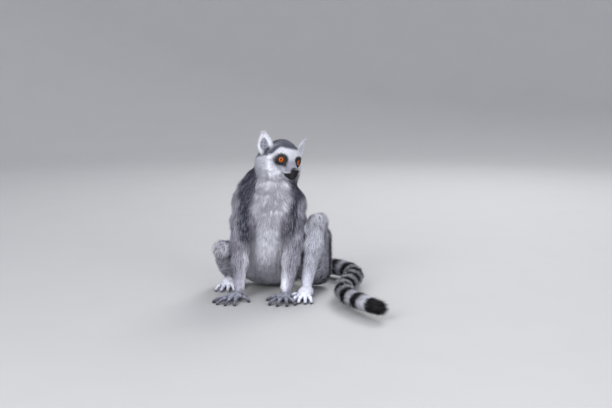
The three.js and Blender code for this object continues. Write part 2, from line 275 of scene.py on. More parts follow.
def rod(start, end, start_radius, end_radius):
    """A rounded rod between two spots that tapers from one radius to the other."""
    start = np.array(start, float)
    run = np.array(end, float) - start

    def form(spots):
        share = np.clip((spots - start) @ run / (run @ run), 0, 1)
        away = np.linalg.norm(spots - start - share[:, None] * run, axis=1)
        return away - start_radius - share * (end_radius - start_radius)

    return form


def blend(softness, *forms):
    """The union of several forms, run together over the softness."""

    def form(spots):
        value = forms[0](spots)
        for other in forms[1:]:
            value = soft_min(value, other(spots), softness)
        return value

    return form


def limb_form(start, end, radii, fullness):
    """A long bone's flesh and coat, fuller in the middle than a plain taper."""
    middle = start + 0.4 * (end - start)
    middle_radius = radii[0] + 0.4 * (radii[1] - radii[0]) + fullness
    return blend(
        11,
        rod(start, middle, radii[0], middle_radius),
        rod(middle, end, middle_radius, radii[1]),
    )


def catmull_rom(points, steps):
    """A smooth curve through the points, with steps samples between each pair."""
    points = np.array(points, float)
    ends = np.vstack([2 * points[0] - points[1], points, 2 * points[-1] - points[-2]])
    share = np.linspace(0, 1, steps, endpoint=False)[:, None]
    runs = []
    for before, start, end, after in zip(ends, ends[1:], ends[2:], ends[3:]):
        runs.append(
            0.5 * (
                2 * start + (end - before) * share
                + (2 * before - 5 * start + 4 * end - after) * share**2
                + (3 * start - before - 3 * end + after) * share**3
            )
        )
    return np.vstack([*runs, points[-1:]])


# ---------------------------------------------------------------- the head, in its own axes

def in_head(spots):
    return (spots - HEAD_CENTRE) @ HEAD_AXES


def from_head(local):
    return local @ HEAD_AXES.T + HEAD_CENTRE


def mirrored(place, side):
    return place * (side, 1, 1)


def ball_pair(place, radii):
    """A ball on the left of the middle, and its mirror image on the right."""
    return [ball(mirrored(spot(*place), side), radii) for side in (1, -1)]


head_outline = blend(
    11,
    ball((0, 3, 6), (37, 42, 40)),
    ball((0, -18, 10), (30, 24, 27)),
    *ball_pair((22, 14, -12), (29, 34, 33)),
    *ball_pair((19, -26, 1), (13, 12, 13)),
    rod((0, -28, -9), (0, -60, -19), 19, 11.5),
    rod((0, -24, -24), (0, -57, -29), 15, 8),
)


def head_depth(local):
    """Depth of the coat over the skull: least on the face, most on the cheeks."""
    rear = 4 + 4.5 * smooth(8, -22, local[:, 2])
    face = smooth(-16, -44, local[:, 1])
    return rear + face * (1.2 - rear)


def eye_axes(side):
    """The eye's own axes as rows: across, up and ahead."""
    ahead = mirrored(EYE_FACING, side)
    across = unit(np.cross(ahead, (0, 0, 1)))
    return np.array([across, np.cross(across, ahead), ahead])


def with_lids(value, local, side):
    """The head with rounded lids that lie on the eyeball and leave an opening in front."""
    near = (local - mirrored(EYE_PLACE, side)) @ eye_axes(side).T
    away = np.linalg.norm(near, axis=1)
    lid = soft_min(value, away - EYE_RADIUS - LID_THICKNESS, 3.0)
    flare = 1 + 0.05 * np.maximum(near[:, 2] - EYE_RADIUS, 0)
    width = LID_HALF_WIDTH * flare
    height = (LID_LOWER + (LID_UPPER - LID_LOWER) * smooth(-3, 3, near[:, 1])) * flare
    corner = 0.16 * np.abs(near[:, 0]) ** 1.5 / LID_HALF_WIDTH  # draws the corners together
    opening = np.hypot(near[:, 0] / width, near[:, 1] / height) * height - height
    opening = np.maximum(opening + corner, 1.5 - near[:, 2])
    lid = soft_cut(lid, opening, 1.0)
    fold = np.exp(-(((np.hypot(near[:, 0] * 0.85, near[:, 1]) - 8.6) / 0.7) ** 2))
    return lid + 0.55 * fold * smooth(0, 4, near[:, 2]) * smooth(-3, 3, np.abs(near[:, 1]))


def mouth_height(local):
    """Height of the line between the lips, which climbs towards its corner."""
    return -29.5 + 4.5 * smooth(-56, -34, local[:, 1]) - 1.5 * smooth(-58, -68, local[:, 1])


def head_skin(spots):
    local = in_head(spots)
    value = head_outline(local) + head_depth(local)
    value = soft_min(value, ball(NOSE_PLACE + (0, 3.4, 0.2), (6.2, 5.4, 4.6))(local), 3)
    lips = np.maximum(np.abs(local[:, 2] - mouth_height(local)) - 0.5, -(value + 2.0))
    lips = np.maximum(lips, local[:, 1] + 38)
    value = soft_cut(value, lips, 0.8)
    for side in (-1, 1):
        value = with_lids(value, local, side)
    return value


def ear_axes(side):
    """The ear's own axes as rows: across, up and the way that its bowl faces."""
    up = unit(mirrored(EAR_TIP, side) - mirrored(EAR_ROOT, side))
    facing = spot(side * math.sin(EAR_FACING), -math.cos(EAR_FACING), 0)
    facing = unit(facing - up * (facing @ up))
    return np.array([np.cross(up, facing), up, facing])


def ear_local(spots, side):
    """Across as a share of the ear's half width, up as a share of its height, and outward."""
    local = (in_head(spots) - mirrored(EAR_ROOT, side)) @ ear_axes(side).T
    height = np.linalg.norm(EAR_TIP - EAR_ROOT)
    share = local[:, 1] / height
    inner = np.clip(share, 0.02, 0.985)
    outline = np.sin(math.pi * inner**0.9) ** 0.55 * (1 - 0.5 * inner**3)
    return local, share, outline


def ear_skin(side):
    """A thin leaf that bows back in the middle, with a rim that stands forward."""

    def form(spots):
        local, share, outline = ear_local(spots, side)
        half_width = (EAR_HALF_WIDTH - 1.6) * outline
        across = local[:, 0] / half_width
        bow = -3.4 * outline * (1 - np.minimum(across * across, 1.4))
        thickness = 1.9 + 2.7 * smooth(0.3, 0.0, share)
        out = local[:, 2] - bow
        near = np.hypot(across, out / thickness)
        leaf = near * (near - 1) / np.maximum(np.hypot(across / half_width, out / thickness**2), 1e-6)
        ends = np.maximum(share - 0.955, 0.02 - share) * np.linalg.norm(EAR_TIP - EAR_ROOT)
        return np.maximum(leaf, ends)

    return form


# ---------------------------------------------------------------- trunk, limbs and tail

trunk_outline = blend(
    22,
    ball((0, 4, 50), (76, 60, 54)),
    ball((-2, -22, 82), (67, 62, 66)),
    ball((0, 6, 112), (63, 49, 44)),
    ball((-2, -10, 150), (60, 55, 52)),
    ball((-34, -28, 195), (36, 38, 33)),
    ball((26, -28, 184), (35, 38, 32)),
    ball((0, -38, 176), (46, 41, 44)),
    rod((-2, -36, 98), (0, -38, 156), 39, 37),
    ball((6, -56, 228), (34, 29, 34)),
    rod(NECK_BASE, NECK_TOP, 42, 44),
    rod((-14, -30, 258), (-38, -30, 222), 22, 28),
    rod((26, -36, 250), (36, -36, 215), 20, 22),
)


def trunk_depth(spots):
    """Depth of the coat over the trunk, least beside the neck, under it and under the chest."""
    height = spots[:, 2]
    slopes = smooth(170, 205, height) * smooth(20, 40, np.abs(spots[:, 0]))
    hollows = 3 * smooth(34, 0, np.abs(height - 128)) + 4.5 * smooth(30, 0, np.abs(height - 196))
    return 11 - 5 * slopes - hollows * smooth(-20, -50, spots[:, 1]) * (1 - slopes)


def digit_heading(heading, turn, side):
    """The direction of a digit, turned towards the thumb side from the heading."""
    angle = heading + math.radians(turn if side == RIGHT else -turn)
    return spot(math.sin(angle), -math.cos(angle), 0)


def digit_bones(side, middle, radii, heading, digits, spread):
    """Knuckle, bend and tip of each digit, thumb first."""
    straight = digit_heading(heading, 0, side)
    across = digit_heading(heading, 90, side)
    bones = []
    for index, (turn, length) in enumerate(digits):
        ahead = digit_heading(heading, turn, side)
        reach = 0 if index == 0 else radii[1] * 0.72
        aside = spread * (0.8 if index == 0 else (2.5 - index) / 1.5)
        knuckle = middle + straight * reach + across * aside
        bend = knuckle + ahead * length * 0.5
        tip = knuckle + ahead * length
        knuckle[2], bend[2], tip[2] = KNUCKLE_HEIGHT, BEND_HEIGHT, TIP_HEIGHT
        bones.append((knuckle, bend, tip))
    return bones


def hand_place(side):
    middle = WRIST[side] + digit_heading(HAND_HEADING[side], 0, side) * PALM_AHEAD
    middle[2] = PALM_HEIGHT
    return side, middle, PALM_RADII, HAND_HEADING[side], HAND_DIGITS, HAND_SPREAD


def foot_place(side):
    middle = ANKLE[side] + digit_heading(FOOT_HEADING[side], 0, side) * SOLE_AHEAD
    middle[2] = SOLE_HEIGHT
    return side, middle, SOLE_RADII, FOOT_HEADING[side], FOOT_DIGITS, FOOT_SPREAD


def extremity_skin(side, middle, radii, heading, digits, spread):
    """A palm or sole with jointed digits, padded at the tips and bowed over the ground."""
    forms = [ball(middle, radii - 1.0, heading)]
    for knuckle, bend, tip in digit_bones(side, middle, radii, heading, digits, spread):
        last = bend + 0.55 * (tip - bend)
        last[2] += 1.2
        forms += [
            rod(middle + (0, 0, 2), knuckle, 5.5, 4.3),
            rod(knuckle, knuckle + 0.5 * (bend - knuckle), 4.2, 3.1),
            rod(knuckle + 0.5 * (bend - knuckle), bend, 3.1, 3.9),
            rod(bend, last, 3.7, 2.8),
            rod(last, tip, 2.9, 3.2),
        ]
    shape = blend(2.2, *forms)
    return lambda spots: np.maximum(shape(spots), 0.3 - spots[:, 2])


tail_line = catmull_rom(TAIL_PATH, TAIL_STEPS)
tail_runs = np.diff(tail_line, axis=0)
tail_reach = np.concatenate([[0], np.cumsum(np.linalg.norm(tail_runs, axis=1))])
tail_share = tail_reach / tail_reach[-1]


def tail_skin_radius(share):
    """The tail under its hair, as fat as the root at its start and blunt at its end."""
    return np.interp(share, (0, 0.12, 0.9, 1), (17, 14.5, 11, 8))


def tail_skin(spots):
    value = np.full(len(spots), FAR)
    flat = spots * (1, 1, 1 / TAIL_FLATNESS)
    line = tail_line * (1, 1, 1 / TAIL_FLATNESS)
    last = len(line) - 3
    for first in range(0, last, TAIL_STEPS):
        span = line[first:first + TAIL_STEPS + 1]
        low, high = span.min(axis=0) - FAR, span.max(axis=0) + FAR
        near = np.all((flat > low) & (flat < high), axis=1).nonzero()[0]
        if not len(near):
            continue
        some, nearest = flat[near], np.full(len(near), FAR)
        for index in range(first, min(first + TAIL_STEPS, last)):
            radii = tail_skin_radius(tail_share[index:index + 2])
            nearest = np.minimum(nearest, rod(line[index], line[index + 1], *radii)(some))
        value[near] = np.minimum(value[near], nearest)
    return value


def tail_nearest(spots):
    """For each spot, the index of the tail line's nearest sample."""
    nearest = np.empty(len(spots), int)
    for start in range(0, len(spots), 20000):
        some = spots[start:start + 20000, None, :] - tail_line[None]
        nearest[start:start + 20000] = (some**2).sum(axis=2).argmin(axis=1)
    return nearest


# ---------------------------------------------------------------- markings

def settings():
    return bpy.context.scene.lemur_colours


def colour(name):
    return np.array(getattr(settings(), name))


def mixed(under, over, mask):
    """One colour, or one for each spot, with another laid over it by a mask from 0 to 1."""
    return under + (over - under) * np.asarray(mask)[:, None]


def ripple(spots, length, seed=0.0):
    """A soft wavering between -1 and 1 that breaks up the edge of a marking."""
    wave = spots * (2 * math.pi / length) + seed
    return (
        np.sin(wave[:, 0] + 1.7 * np.sin(wave[:, 1] * 0.8 + seed))
        + np.sin(wave[:, 1] * 1.2 + 1.9 * np.sin(wave[:, 2] * 0.9))
        + np.sin(wave[:, 2] * 1.1 + 1.5 * np.sin(wave[:, 0] * 0.7 + 2))
    ) / 3


def trail(spots, points):
    """Distance, seen from the front, to a bent line through the points."""
    flat = spots[:, [0, 2]]
    lines = [rod(start, end, 0, 0)(flat) for start, end in zip(points, points[1:])]
    return np.min(lines, axis=0)


def band_mask(spots):
    """Dark slate beside the bib on both shoulders, and down the nape."""
    front = smooth(25, -15, spots[:, 1])
    mask = np.zeros(len(spots))
    for line, half_width in SHOULDER_BANDS:
        away = trail(spots, line) + 4 * ripple(spots, 24)
        mask = np.maximum(mask, smooth(half_width + 4, half_width - 9, away) * front)
    nape = smooth(42, 22, np.abs(spots[:, 0] - 4)) * smooth(-30, 0, spots[:, 1])
    nape *= smooth(175, 225, spots[:, 2])
    return np.maximum(mask, nape)


def bib_mask(spots):
    """The pale throat, chest and belly."""
    middle = -3 + 7.5 * smooth(160, 230, spots[:, 2])
    half_width = 36 + 16 * smooth(150, 90, spots[:, 2]) - 9 * smooth(165, 230, spots[:, 2])
    aside = np.abs(spots[:, 0] - middle) + 3 * ripple(spots, 18, 1.0)
    return smooth(half_width + 6, half_width - 5, aside) * smooth(-8, -32, spots[:, 1])


def trunk_tone(spots):
    back = mixed(colour("back"), colour("flank"), smooth(-20, -45, spots[:, 1]))
    back = mixed(back, colour("flank"), 0.5 + 0.5 * ripple(spots, 60, 2.0))
    tone = mixed(back, colour("slate"), band_mask(spots))
    # Painted shade on the throat: rows of painted shadow between its ruffles of fur, in the throat's grey
    # over the white
    ruffle_shadows = np.sin(spots[:, 2] * 0.5 + 0.2 * np.abs(spots[:, 0] - 4) + 2.2 * ripple(spots, 30))
    throat = smooth(138, 165, spots[:, 2]) * np.clip(0.28 + 0.6 * ruffle_shadows, 0, 1)
    front = mixed(colour("white"), colour("throat"), throat)
    return mixed(tone, front, bib_mask(spots))


def cap_mask(local):
    """The dark cap over the crown, the temples and down the nape."""
    aside = np.abs(local[:, 0])
    line = 25 - 13 * smooth(-28, 8, local[:, 1]) - 42 * smooth(14, 44, local[:, 1])
    line -= 15 * smooth(17, 30, aside) * smooth(-34, -18, local[:, 1])
    return smooth(-2.5, 2.5, local[:, 2] - line + 1.2 * ripple(local, 9))


def eye_patch_mask(local):
    """A black ring round each eye, drawn out towards the nose."""
    mask = np.zeros(len(local))
    for side in (-1, 1):
        ring = ball(mirrored(spot(17.2, -33, 1.2), side), (13.2, 17, 12.4))(local)
        tear = rod(mirrored(spot(14, -38, -5), side), mirrored(spot(8, -49, -13), side), 6, 3.5)
        away = soft_min(ring, tear(local), 4) + 0.7 * ripple(local, 7, side)
        mask = np.maximum(mask, smooth(2.4, -2.0, away))
    return mask


def muzzle_mask(local):
    """The black end of the muzzle, its lips and its chin."""
    above = local[:, 2] - mouth_height(local)
    line = -43 - 22 * smooth(0.5, 9, above) - 12 * smooth(-3, -8, above)
    return smooth(2.5, -2.5, local[:, 1] - line + 0.8 * ripple(local, 6))


def head_tone(spots):
    local = in_head(spots)
    # Painted shade under the jaw, in the throat's grey
    under = smooth(-26, -44, local[:, 2]) * smooth(-60, -20, local[:, 1])
    tone = mixed(colour("white"), colour("throat"), 0.6 * under)
    # Painted shade on the lower sides of the head, in the thighs' grey
    shade = 0.35 * smooth(30, 38, np.abs(local[:, 0])) * smooth(6, -8, local[:, 2])
    tone = mixed(tone, colour("thigh"), shade)
    tone = mixed(tone, colour("crown"), cap_mask(local))
    bridge = smooth(-38, -50, local[:, 1]) * smooth(-26, -18, local[:, 2])
    tone = mixed(tone, colour("muzzle"), bridge * 0.85)
    for side in (-1, 1):
        away = ball(mirrored(spot(20, -32, -4), side), (19, 22, 17))(local)
        tone = mixed(tone, colour("muzzle"), 0.5 * smooth(3, -5, away) * smooth(4, -3, local[:, 2]))
    tone = mixed(tone, colour("black"), eye_patch_mask(local))
    return mixed(tone, colour("black"), muzzle_mask(local))


def ear_tone(side):
    def tone(spots):
        local, share, outline = ear_local(spots, side)
        across = local[:, 0] / (EAR_HALF_WIDTH * outline)
        bow = -3.4 * outline * (1 - np.minimum(across * across, 1.4))
        front = smooth(-0.6, 0.6, local[:, 2] - bow)
        outer = across * side
        bowl = smooth(1.15, 0.85, np.hypot((outer - 0.12) / 0.5, (share - 0.48) / 0.27)) * front
        bowl *= 0.85 + 0.15 * ripple(spots, 7) if side < 0 else 0.4
        notch = smooth(0.42, 0.25, np.hypot(outer + 0.2 + (share - 0.2), (share - 0.15) * 1.5)) * front
        return mixed(mixed(colour("white"), colour("ear"), bowl), colour("black"), notch)

    return tone


def upper_arm_tone(spots):
    outer = smooth(20, 60, np.abs(spots[:, 0] - 2))
    pale = outer * (0.55 + 0.2 * ripple(spots, 26)) * smooth(95, 150, spots[:, 2])
    return mixed(mixed(colour("arm"), colour("thigh"), pale), colour("slate"), band_mask(spots))


def forearm_tone(side):
    def tone(spots):
        aside = (spots[:, 0] - (WRIST[side][0] + ELBOW[side][0]) / 2) * (1 if side == RIGHT else -1)
        tone = mixed(colour("arm"), colour("thigh"), 0.45 + 0.25 * ripple(spots, 17))
        return mixed(tone, colour("white"), smooth(3, 12, aside) * smooth(118, 95, spots[:, 2]))

    return tone


def thigh_tone(side):
    def tone(spots):
        inner = smooth(60, 40, np.abs(spots[:, 0])) * smooth(-20, -60, spots[:, 1])
        tone = mixed(colour("thigh"), colour("flank"), 0.3 + 0.3 * ripple(spots, 30, 1.0))
        edge = smooth(30, 6, spots[:, 2])
        knee = smooth(52, 22, np.linalg.norm(spots - KNEE[side], axis=1))
        pale = np.maximum(0.6 * edge, knee * (0.5 + 0.25 * ripple(spots, 16)))
        return mixed(mixed(tone, colour("white"), pale), colour("white"), inner)

    return tone


def plain_tone(name, other, share, length):
    def tone(spots):
        mask = np.clip(share + 0.3 * ripple(spots, length), 0, 1)
        return mixed(colour(name), colour(other), mask)

    return tone


def hand_tone(spots):
    tone = plain_tone("hand", "thigh", 0.22, 14)(spots)
    tone = mixed(tone, colour("black"), 0.55 * smooth(12, 6, spots[:, 2]))
    return mixed(tone, colour("black"), 0.6 * smooth(7, 2.5, spots[:, 2]))


def foot_tone(spots):
    tone = plain_tone("white", "thigh", 0.2, 14)(spots)
    tone = mixed(tone, colour("thigh"), 0.6 * smooth(12, 7, spots[:, 2]))
    return mixed(tone, colour("hand"), 0.85 * smooth(7, 3, spots[:, 2]))


def ring_mask(reach):
    """Black rings along the tail, by the distance from its root, and a black end."""
    place = np.mod(reach - RING_FIRST, RING_PITCH)
    middle = RING_BLACK / 2
    ring = smooth(middle + 1.5, middle - 1.5, np.abs(place - middle))
    ring *= reach > RING_FIRST - 5
    return np.maximum(ring, smooth(-32, -29, reach - tail_reach[-1]))


def tail_tone(spots):
    nearest = tail_nearest(spots)
    run = tail_runs[np.minimum(nearest, len(tail_runs) - 1)]
    reach = tail_reach[nearest] + ((spots - tail_line[nearest]) * unit(run)).sum(axis=1)
    base = mixed(colour("white"), colour("flank"), smooth(26, 8, reach))
    return mixed(base, colour("black"), ring_mask(reach + 1.2 * ripple(spots, 12)))


# ---------------------------------------------------------------- the parts of the body

class Part:
    """One form of the body's skin, with the lie, growth and tone of the coat on it."""

    def __init__(self, name, form, nodes, lie, tone, side=RIGHT):
        self.name = name
        self.side = side
        self.form = form
        self.lie = lie
        self.tone = tone
        self.softness, self.hair, lift, self.grizzle = GROWTH[name]
        self.lift = math.radians(lift)
        corners = [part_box(node) for node in nodes]
        self.low = np.min([np.array(low) for low, high in corners], axis=0) / MM - FAR
        self.high = np.max([np.array(high) for low, high in corners], axis=0) / MM + FAR

    def around(self, spots):
        """Indices of the spots near enough for this form to matter."""
        return np.all((spots > self.low) & (spots < self.high), axis=1).nonzero()[0]

    def value(self, spots):
        """The form's value at each spot, or FAR where it is out of reach."""
        value = np.full(len(spots), FAR)
        near = self.around(spots)
        if len(near):
            value[near] = self.form(spots[near])
        return value


def steady(direction):
    direction = np.array(direction, float)
    return lambda spots: np.broadcast_to(direction, spots.shape)


def down_over_the_knee(hip, knee):
    """Along the thigh, then down where it meets the shin."""
    along = unit(knee - hip)

    def lie(spots):
        share = (spots - hip) @ along / np.linalg.norm(knee - hip)
        over = smooth(0.55, 0.95, share)[:, None]
        return along * (0.9 - 0.3 * over) - spot(0, 0, 1) * (0.5 + 0.2 * over)

    return lie


def down_the_trunk(spots):
    """Down, parting from the middle of the front and the back."""
    lie = np.zeros_like(spots)
    lie[:, 0] = np.clip(spots[:, 0] / 110, -0.6, 0.6)
    lie[:, 2] = -1
    return lie


def back_over_the_head(spots):
    """Away from the nose, and down on the cheeks."""
    local = in_head(spots)
    lie = unit(local - (0, -74, -12))
    lie[:, 2] -= 0.55 * smooth(-2, -22, local[:, 2]) * smooth(-50, -15, local[:, 1])
    return lie @ HEAD_AXES.T


def up_the_ear(side):
    def lie(spots):
        local, _, outline = ear_local(spots, side)
        across = np.clip(local[:, 0] / (EAR_HALF_WIDTH * outline), -1.2, 1.2)[:, None]
        axes = ear_axes(side)
        return (axes[1] + 0.9 * across * axes[0] + 0.15 * axes[2]) @ HEAD_AXES.T

    return lie


def along_the_tail(spots):
    nearest = np.minimum(tail_nearest(spots), len(tail_runs) - 1)
    return unit(tail_runs[nearest])


def under_coat(form, depth):
    """The skin of a limb, under a coat of that depth."""
    return lambda spots: form(spots) + depth


def limb_parts(side):
    """Name, outline, lie and tone of each limb of a side."""
    thigh = limb_form(HIP[side], KNEE[side], THIGH_RADII[side], 0)
    return (
        ("upper_arm", limb_form(SHOULDER[side], ELBOW[side], UPPER_ARM_RADII[side], 0),
         steady(ELBOW[side] - SHOULDER[side]), upper_arm_tone),
        ("forearm", limb_form(ELBOW[side], WRIST[side], FOREARM_RADII[side], -1),
         steady(WRIST[side] - ELBOW[side]), forearm_tone(side)),
        ("thigh", blend(22, thigh, rod(*HAUNCH[side])),
         down_over_the_knee(HIP[side], KNEE[side]), thigh_tone(side)),
        ("shin", limb_form(KNEE[side], ANKLE[side], SHIN_RADII[side], 4),
         steady(ANKLE[side] - KNEE[side]), plain_tone("white", "thigh", 0.62, 20)),
    )


def make_parts():
    """Every part of the body, in the order in which the skin runs them together."""
    parts = [
        Part("trunk", lambda spots: trunk_outline(spots) + trunk_depth(spots),
             ("abdomen", "chest", "neck"), down_the_trunk, trunk_tone),
        Part("head", head_skin, ("head", "nose"), back_over_the_head, head_tone),
    ]
    for side, sign, word in SIDES:
        for name, outline, lie, tone in limb_parts(side):
            form = under_coat(outline, LIMB_DEPTH[name])
            parts.append(Part(name, form, [f"{name}_{word}"], lie, tone, side))
        for name, placing, heading, tone in (
            ("hand", hand_place, HAND_HEADING, hand_tone),
            ("foot", foot_place, FOOT_HEADING, foot_tone),
        ):
            form = extremity_skin(*placing(side))
            lie = steady(digit_heading(heading[side], 0, side) - (0, 0, 0.3))
            parts.append(Part(name, form, [f"{name}_{word}"], lie, tone, side))
        parts.append(
            Part("ear", ear_skin(sign), [f"ear_{word}"], up_the_ear(sign), ear_tone(sign), side)
        )
    lengths = [f"tail_{length}" for length in range(1, 7)]
    parts.append(Part("tail", tail_skin, lengths, along_the_tail, tail_tone))
    return parts


PARTS = make_parts()


def skin_form(spots):
    """The whole skin, every part run into its neighbours."""
    value = np.full(len(spots), FAR)
    for part in PARTS:
        near = part.around(spots)
        if len(near):
            value[near] = soft_min(value[near], part.form(spots[near]), part.softness)
    return value


# ---------------------------------------------------------------- nets and meshes

def sampled(form, low, high, step):
    """The form on a grid, worked out only in the blocks that its surface may cross."""
    side = step * BLOCK
    counts = np.ceil((high - low) / side).astype(int)
    blocks = np.indices(counts).reshape(3, -1).T
    middles = form(low + (blocks + 0.5) * side)
    grid = middles.reshape(counts).astype(np.float32)
    for axis in range(3):
        grid = np.repeat(grid, BLOCK, axis=axis)
    grid = np.pad(grid, ((0, 1),) * 3, mode="edge")
    corners = np.indices((BLOCK + 1,) * 3).reshape(3, -1).T
    crossed = blocks[np.abs(middles) < side * 1.15]
    for start in range(0, len(crossed), 400):
        nodes = (crossed[start:start + 400, None] * BLOCK + corners[None]).reshape(-1, 3)
        grid[tuple(nodes.T)] = form(low + nodes * step)
    return grid


def surface_net(form, low, high, step):
    """Closed quads round the form's zero: one vertex in each cell that the surface crosses."""
    grid = sampled(form, low, high, step)
    inside = grid < 0
    shape = np.array(grid.shape) - 1
    count = np.zeros(shape, np.int8)
    offsets = np.indices((2, 2, 2)).reshape(3, -1).T
    for x, y, z in offsets:
        count += inside[x:x + shape[0], y:y + shape[1], z:z + shape[2]]
    cells = np.argwhere((count > 0) & (count < 8))
    number = np.full(shape, -1, np.int32)
    number[tuple(cells.T)] = np.arange(len(cells))
    total = np.zeros((len(cells), 3))
    crossings = np.zeros(len(cells))
    quads = []
    for axis in range(3):
        along = np.eye(3, dtype=int)[axis]
        others = [np.eye(3, dtype=int)[other] for other in range(3) if other != axis]
        for first in (0, 1):
            for second in (0, 1):
                start = cells + first * others[0] + second * others[1]
                near = grid[tuple(start.T)]
                far = grid[tuple((start + along).T)]
                crossed = (near < 0) != (far < 0)
                share = near[crossed] / (near[crossed] - far[crossed])
                total[crossed] += start[crossed] + share[:, None] * along
                crossings[crossed] += 1
        start = cells
        near = inside[tuple(start.T)]
        far = inside[tuple((start + along).T)]
        edge = (near != far) & np.all(start[:, [o for o in range(3) if o != axis]] > 0, axis=1)
        base = start[edge]
        ring = [base, base - others[0], base - others[0] - others[1], base - others[1]]
        quad = np.stack([number[tuple(cell.T)] for cell in ring], axis=1)
        turned = near[edge] == (axis != 1)
        quad[~turned] = quad[~turned][:, ::-1]
        quads.append(quad)
    vertices = low + total / crossings[:, None] * step
    return vertices, np.vstack(quads)


def slope(form, spots, reach=0.25):
    """The form's gradient by differences."""
    gradient = np.empty_like(spots)
    for axis in range(3):
        offset = np.eye(3)[axis] * reach
        gradient[:, axis] = (form(spots + offset) - form(spots - offset)) / (2 * reach)
    return gradient


def settled(form, spots, rounds=2):
    """The spots moved on to the form's zero."""
    for _ in range(rounds):
        gradient = slope(form, spots)
        length = np.maximum((gradient**2).sum(axis=1), 0.05)
        move = gradient * (form(spots) / length)[:, None]
        size = np.linalg.norm(move, axis=1, keepdims=True)
        spots = spots - move * np.minimum(1, 1.2 / np.maximum(size, 1e-9))
    return spots


def mesh_of(name, vertices, faces):
    """A smooth mesh in metres from vertices in millimetres."""
    mesh = bpy.data.meshes.new(name)
    mesh.from_pydata((vertices * MM).tolist(), [], faces.tolist())
    mesh.validate()
    mesh.shade_smooth()
    mesh.update()
    return mesh


def listed(items, field, kind, width=1):
    """One value of every item as an array, with a row for each where the value is wide."""
    values = np.empty(len(items) * width, kind)
    items.foreach_get(field, values)
    return values if width == 1 else values.reshape(-1, width)


def places(mesh):
    """The mesh's vertices in millimetres."""
    return listed(mesh.vertices, "co", np.float32, 3).astype(float) / MM


def add_object(mesh, material=None):
    piece = bpy.data.objects.new(mesh.name, mesh)
    bpy.context.scene.collection.objects.link(piece)
    if material:
        mesh.materials.append(material)
    return piece


def store(mesh, name, kind, values, domain="POINT"):
    """Keeps one value for each vertex or face under a name."""
    field = {"FLOAT": "value", "FLOAT_VECTOR": "vector", "FLOAT_COLOR": "color", "INT": "value"}
    attribute = mesh.attributes.new(name, kind, domain)
    attribute.data.foreach_set(field[kind], np.ascontiguousarray(values).ravel())


# ---------------------------------------------------------------- how the coat grows

def head_hair(local):
    """Length of the coat on the head: short on the muzzle, long on the cheeks."""
    rear = 9 + 7 * smooth(6, -20, local[:, 2])
    rear -= 2.0 * smooth(10, 25, local[:, 2])
    face = smooth(-14, -46, local[:, 1])
    return rear + face * (2.4 - rear)


def part_hair(part, spots):
    """Length of the coat, which shortens into a hand or foot and ends an ear in a point."""
    if part.name == "head":
        return head_hair(in_head(spots))
    if part.name == "ear":
        local, share, _ = ear_local(spots, 1 if part.side == LEFT else -1)
        behind = smooth(0.3, -1.2, local[:, 2])
        point = smooth(0.7, 1.0, share) * (1 - np.minimum(np.abs(local[:, 0]) / 8, 1))
        return part.hair * (0.85 + 0.6 * point) * (1 - 0.5 * behind)
    if part.name not in ("forearm", "shin", "hand", "foot"):
        return part.hair
    end = (WRIST if part.name in ("forearm", "hand") else ANKLE)[part.side]
    away = np.linalg.norm(spots - end, axis=1)
    if part.name in ("forearm", "shin"):
        return part.hair * (0.5 + 0.5 * smooth(12, 45, away))
    return part.hair * (1 + 0.7 * smooth(26, 10, away))


def bare_mask(spots):
    """Skin with no hair: lids, lips, the nose's edge and the pads under hands and feet."""
    local = in_head(spots)
    mask = np.zeros(len(spots))
    for side in (-1, 1):
        near = (local - mirrored(EYE_PLACE, side)) @ eye_axes(side).T
        rim = np.hypot(near[:, 0] / 8.3, near[:, 1] / 7.2)
        mask = np.maximum(mask, smooth(1.08, 0.95, rim) * (near[:, 2] > 2))
    lips = smooth(1.6, 0.7, np.abs(local[:, 2] - mouth_height(local)))
    mask = np.maximum(mask, lips * smooth(-36, -39, local[:, 1]))
    mask = np.maximum(mask, smooth(1.08, 0.96, np.linalg.norm((local - NOSE_PLACE) / NOSE_RADII, axis=1)))
    return np.maximum(mask, smooth(4.2, 3.0, spots[:, 2]) * (spots[:, 1] < -90))


def nearest_parts(spots):
    """How much each part of the body counts at each spot, adding up to 1."""
    away = np.stack([part.value(spots) for part in PARTS])
    weight = np.exp(-(away - away.min(axis=0)) / 2.5)
    return weight / weight.sum(axis=0)


def coat_values(spots, normals):
    """Lie, length, lift, tone and grizzle of the coat at each spot of the skin."""
    share = nearest_parts(spots)
    lie = np.zeros_like(spots)
    tone = np.zeros_like(spots)
    hair, lift, grizzle = (np.zeros(len(spots)) for _ in range(3))
    for part, weight in zip(PARTS, share):
        used = (weight > 0.01).nonzero()[0]
        if not len(used):
            continue
        some = spots[used]
        count = weight[used]
        lie[used] += unit(part.lie(some)) * count[:, None]
        tone[used] += part.tone(some) * count[:, None]
        hair[used] += part_hair(part, some) * count
        lift[used] += part.lift * count
        grizzle[used] += part.grizzle * count
    bib = bib_mask(spots) * share[0]
    grizzle *= 1 - 0.75 * bib
    lie -= normals * (lie * normals).sum(axis=1, keepdims=True)
    outward = np.zeros_like(spots)
    outward[:, 0] = np.sign(spots[:, 0]) * smooth(4, 30, np.abs(spots[:, 0]))
    lie += outward * (bib * smooth(140, 190, spots[:, 2]))[:, None] * 0.5
    return unit(lie), hair, lift, tone, grizzle


# ---------------------------------------------------------------- settings

def tint(label, about, value):
    return bpy.props.FloatVectorProperty(
        name=label, description=about, default=value, size=3, min=0, max=1, subtype="COLOR"
    )


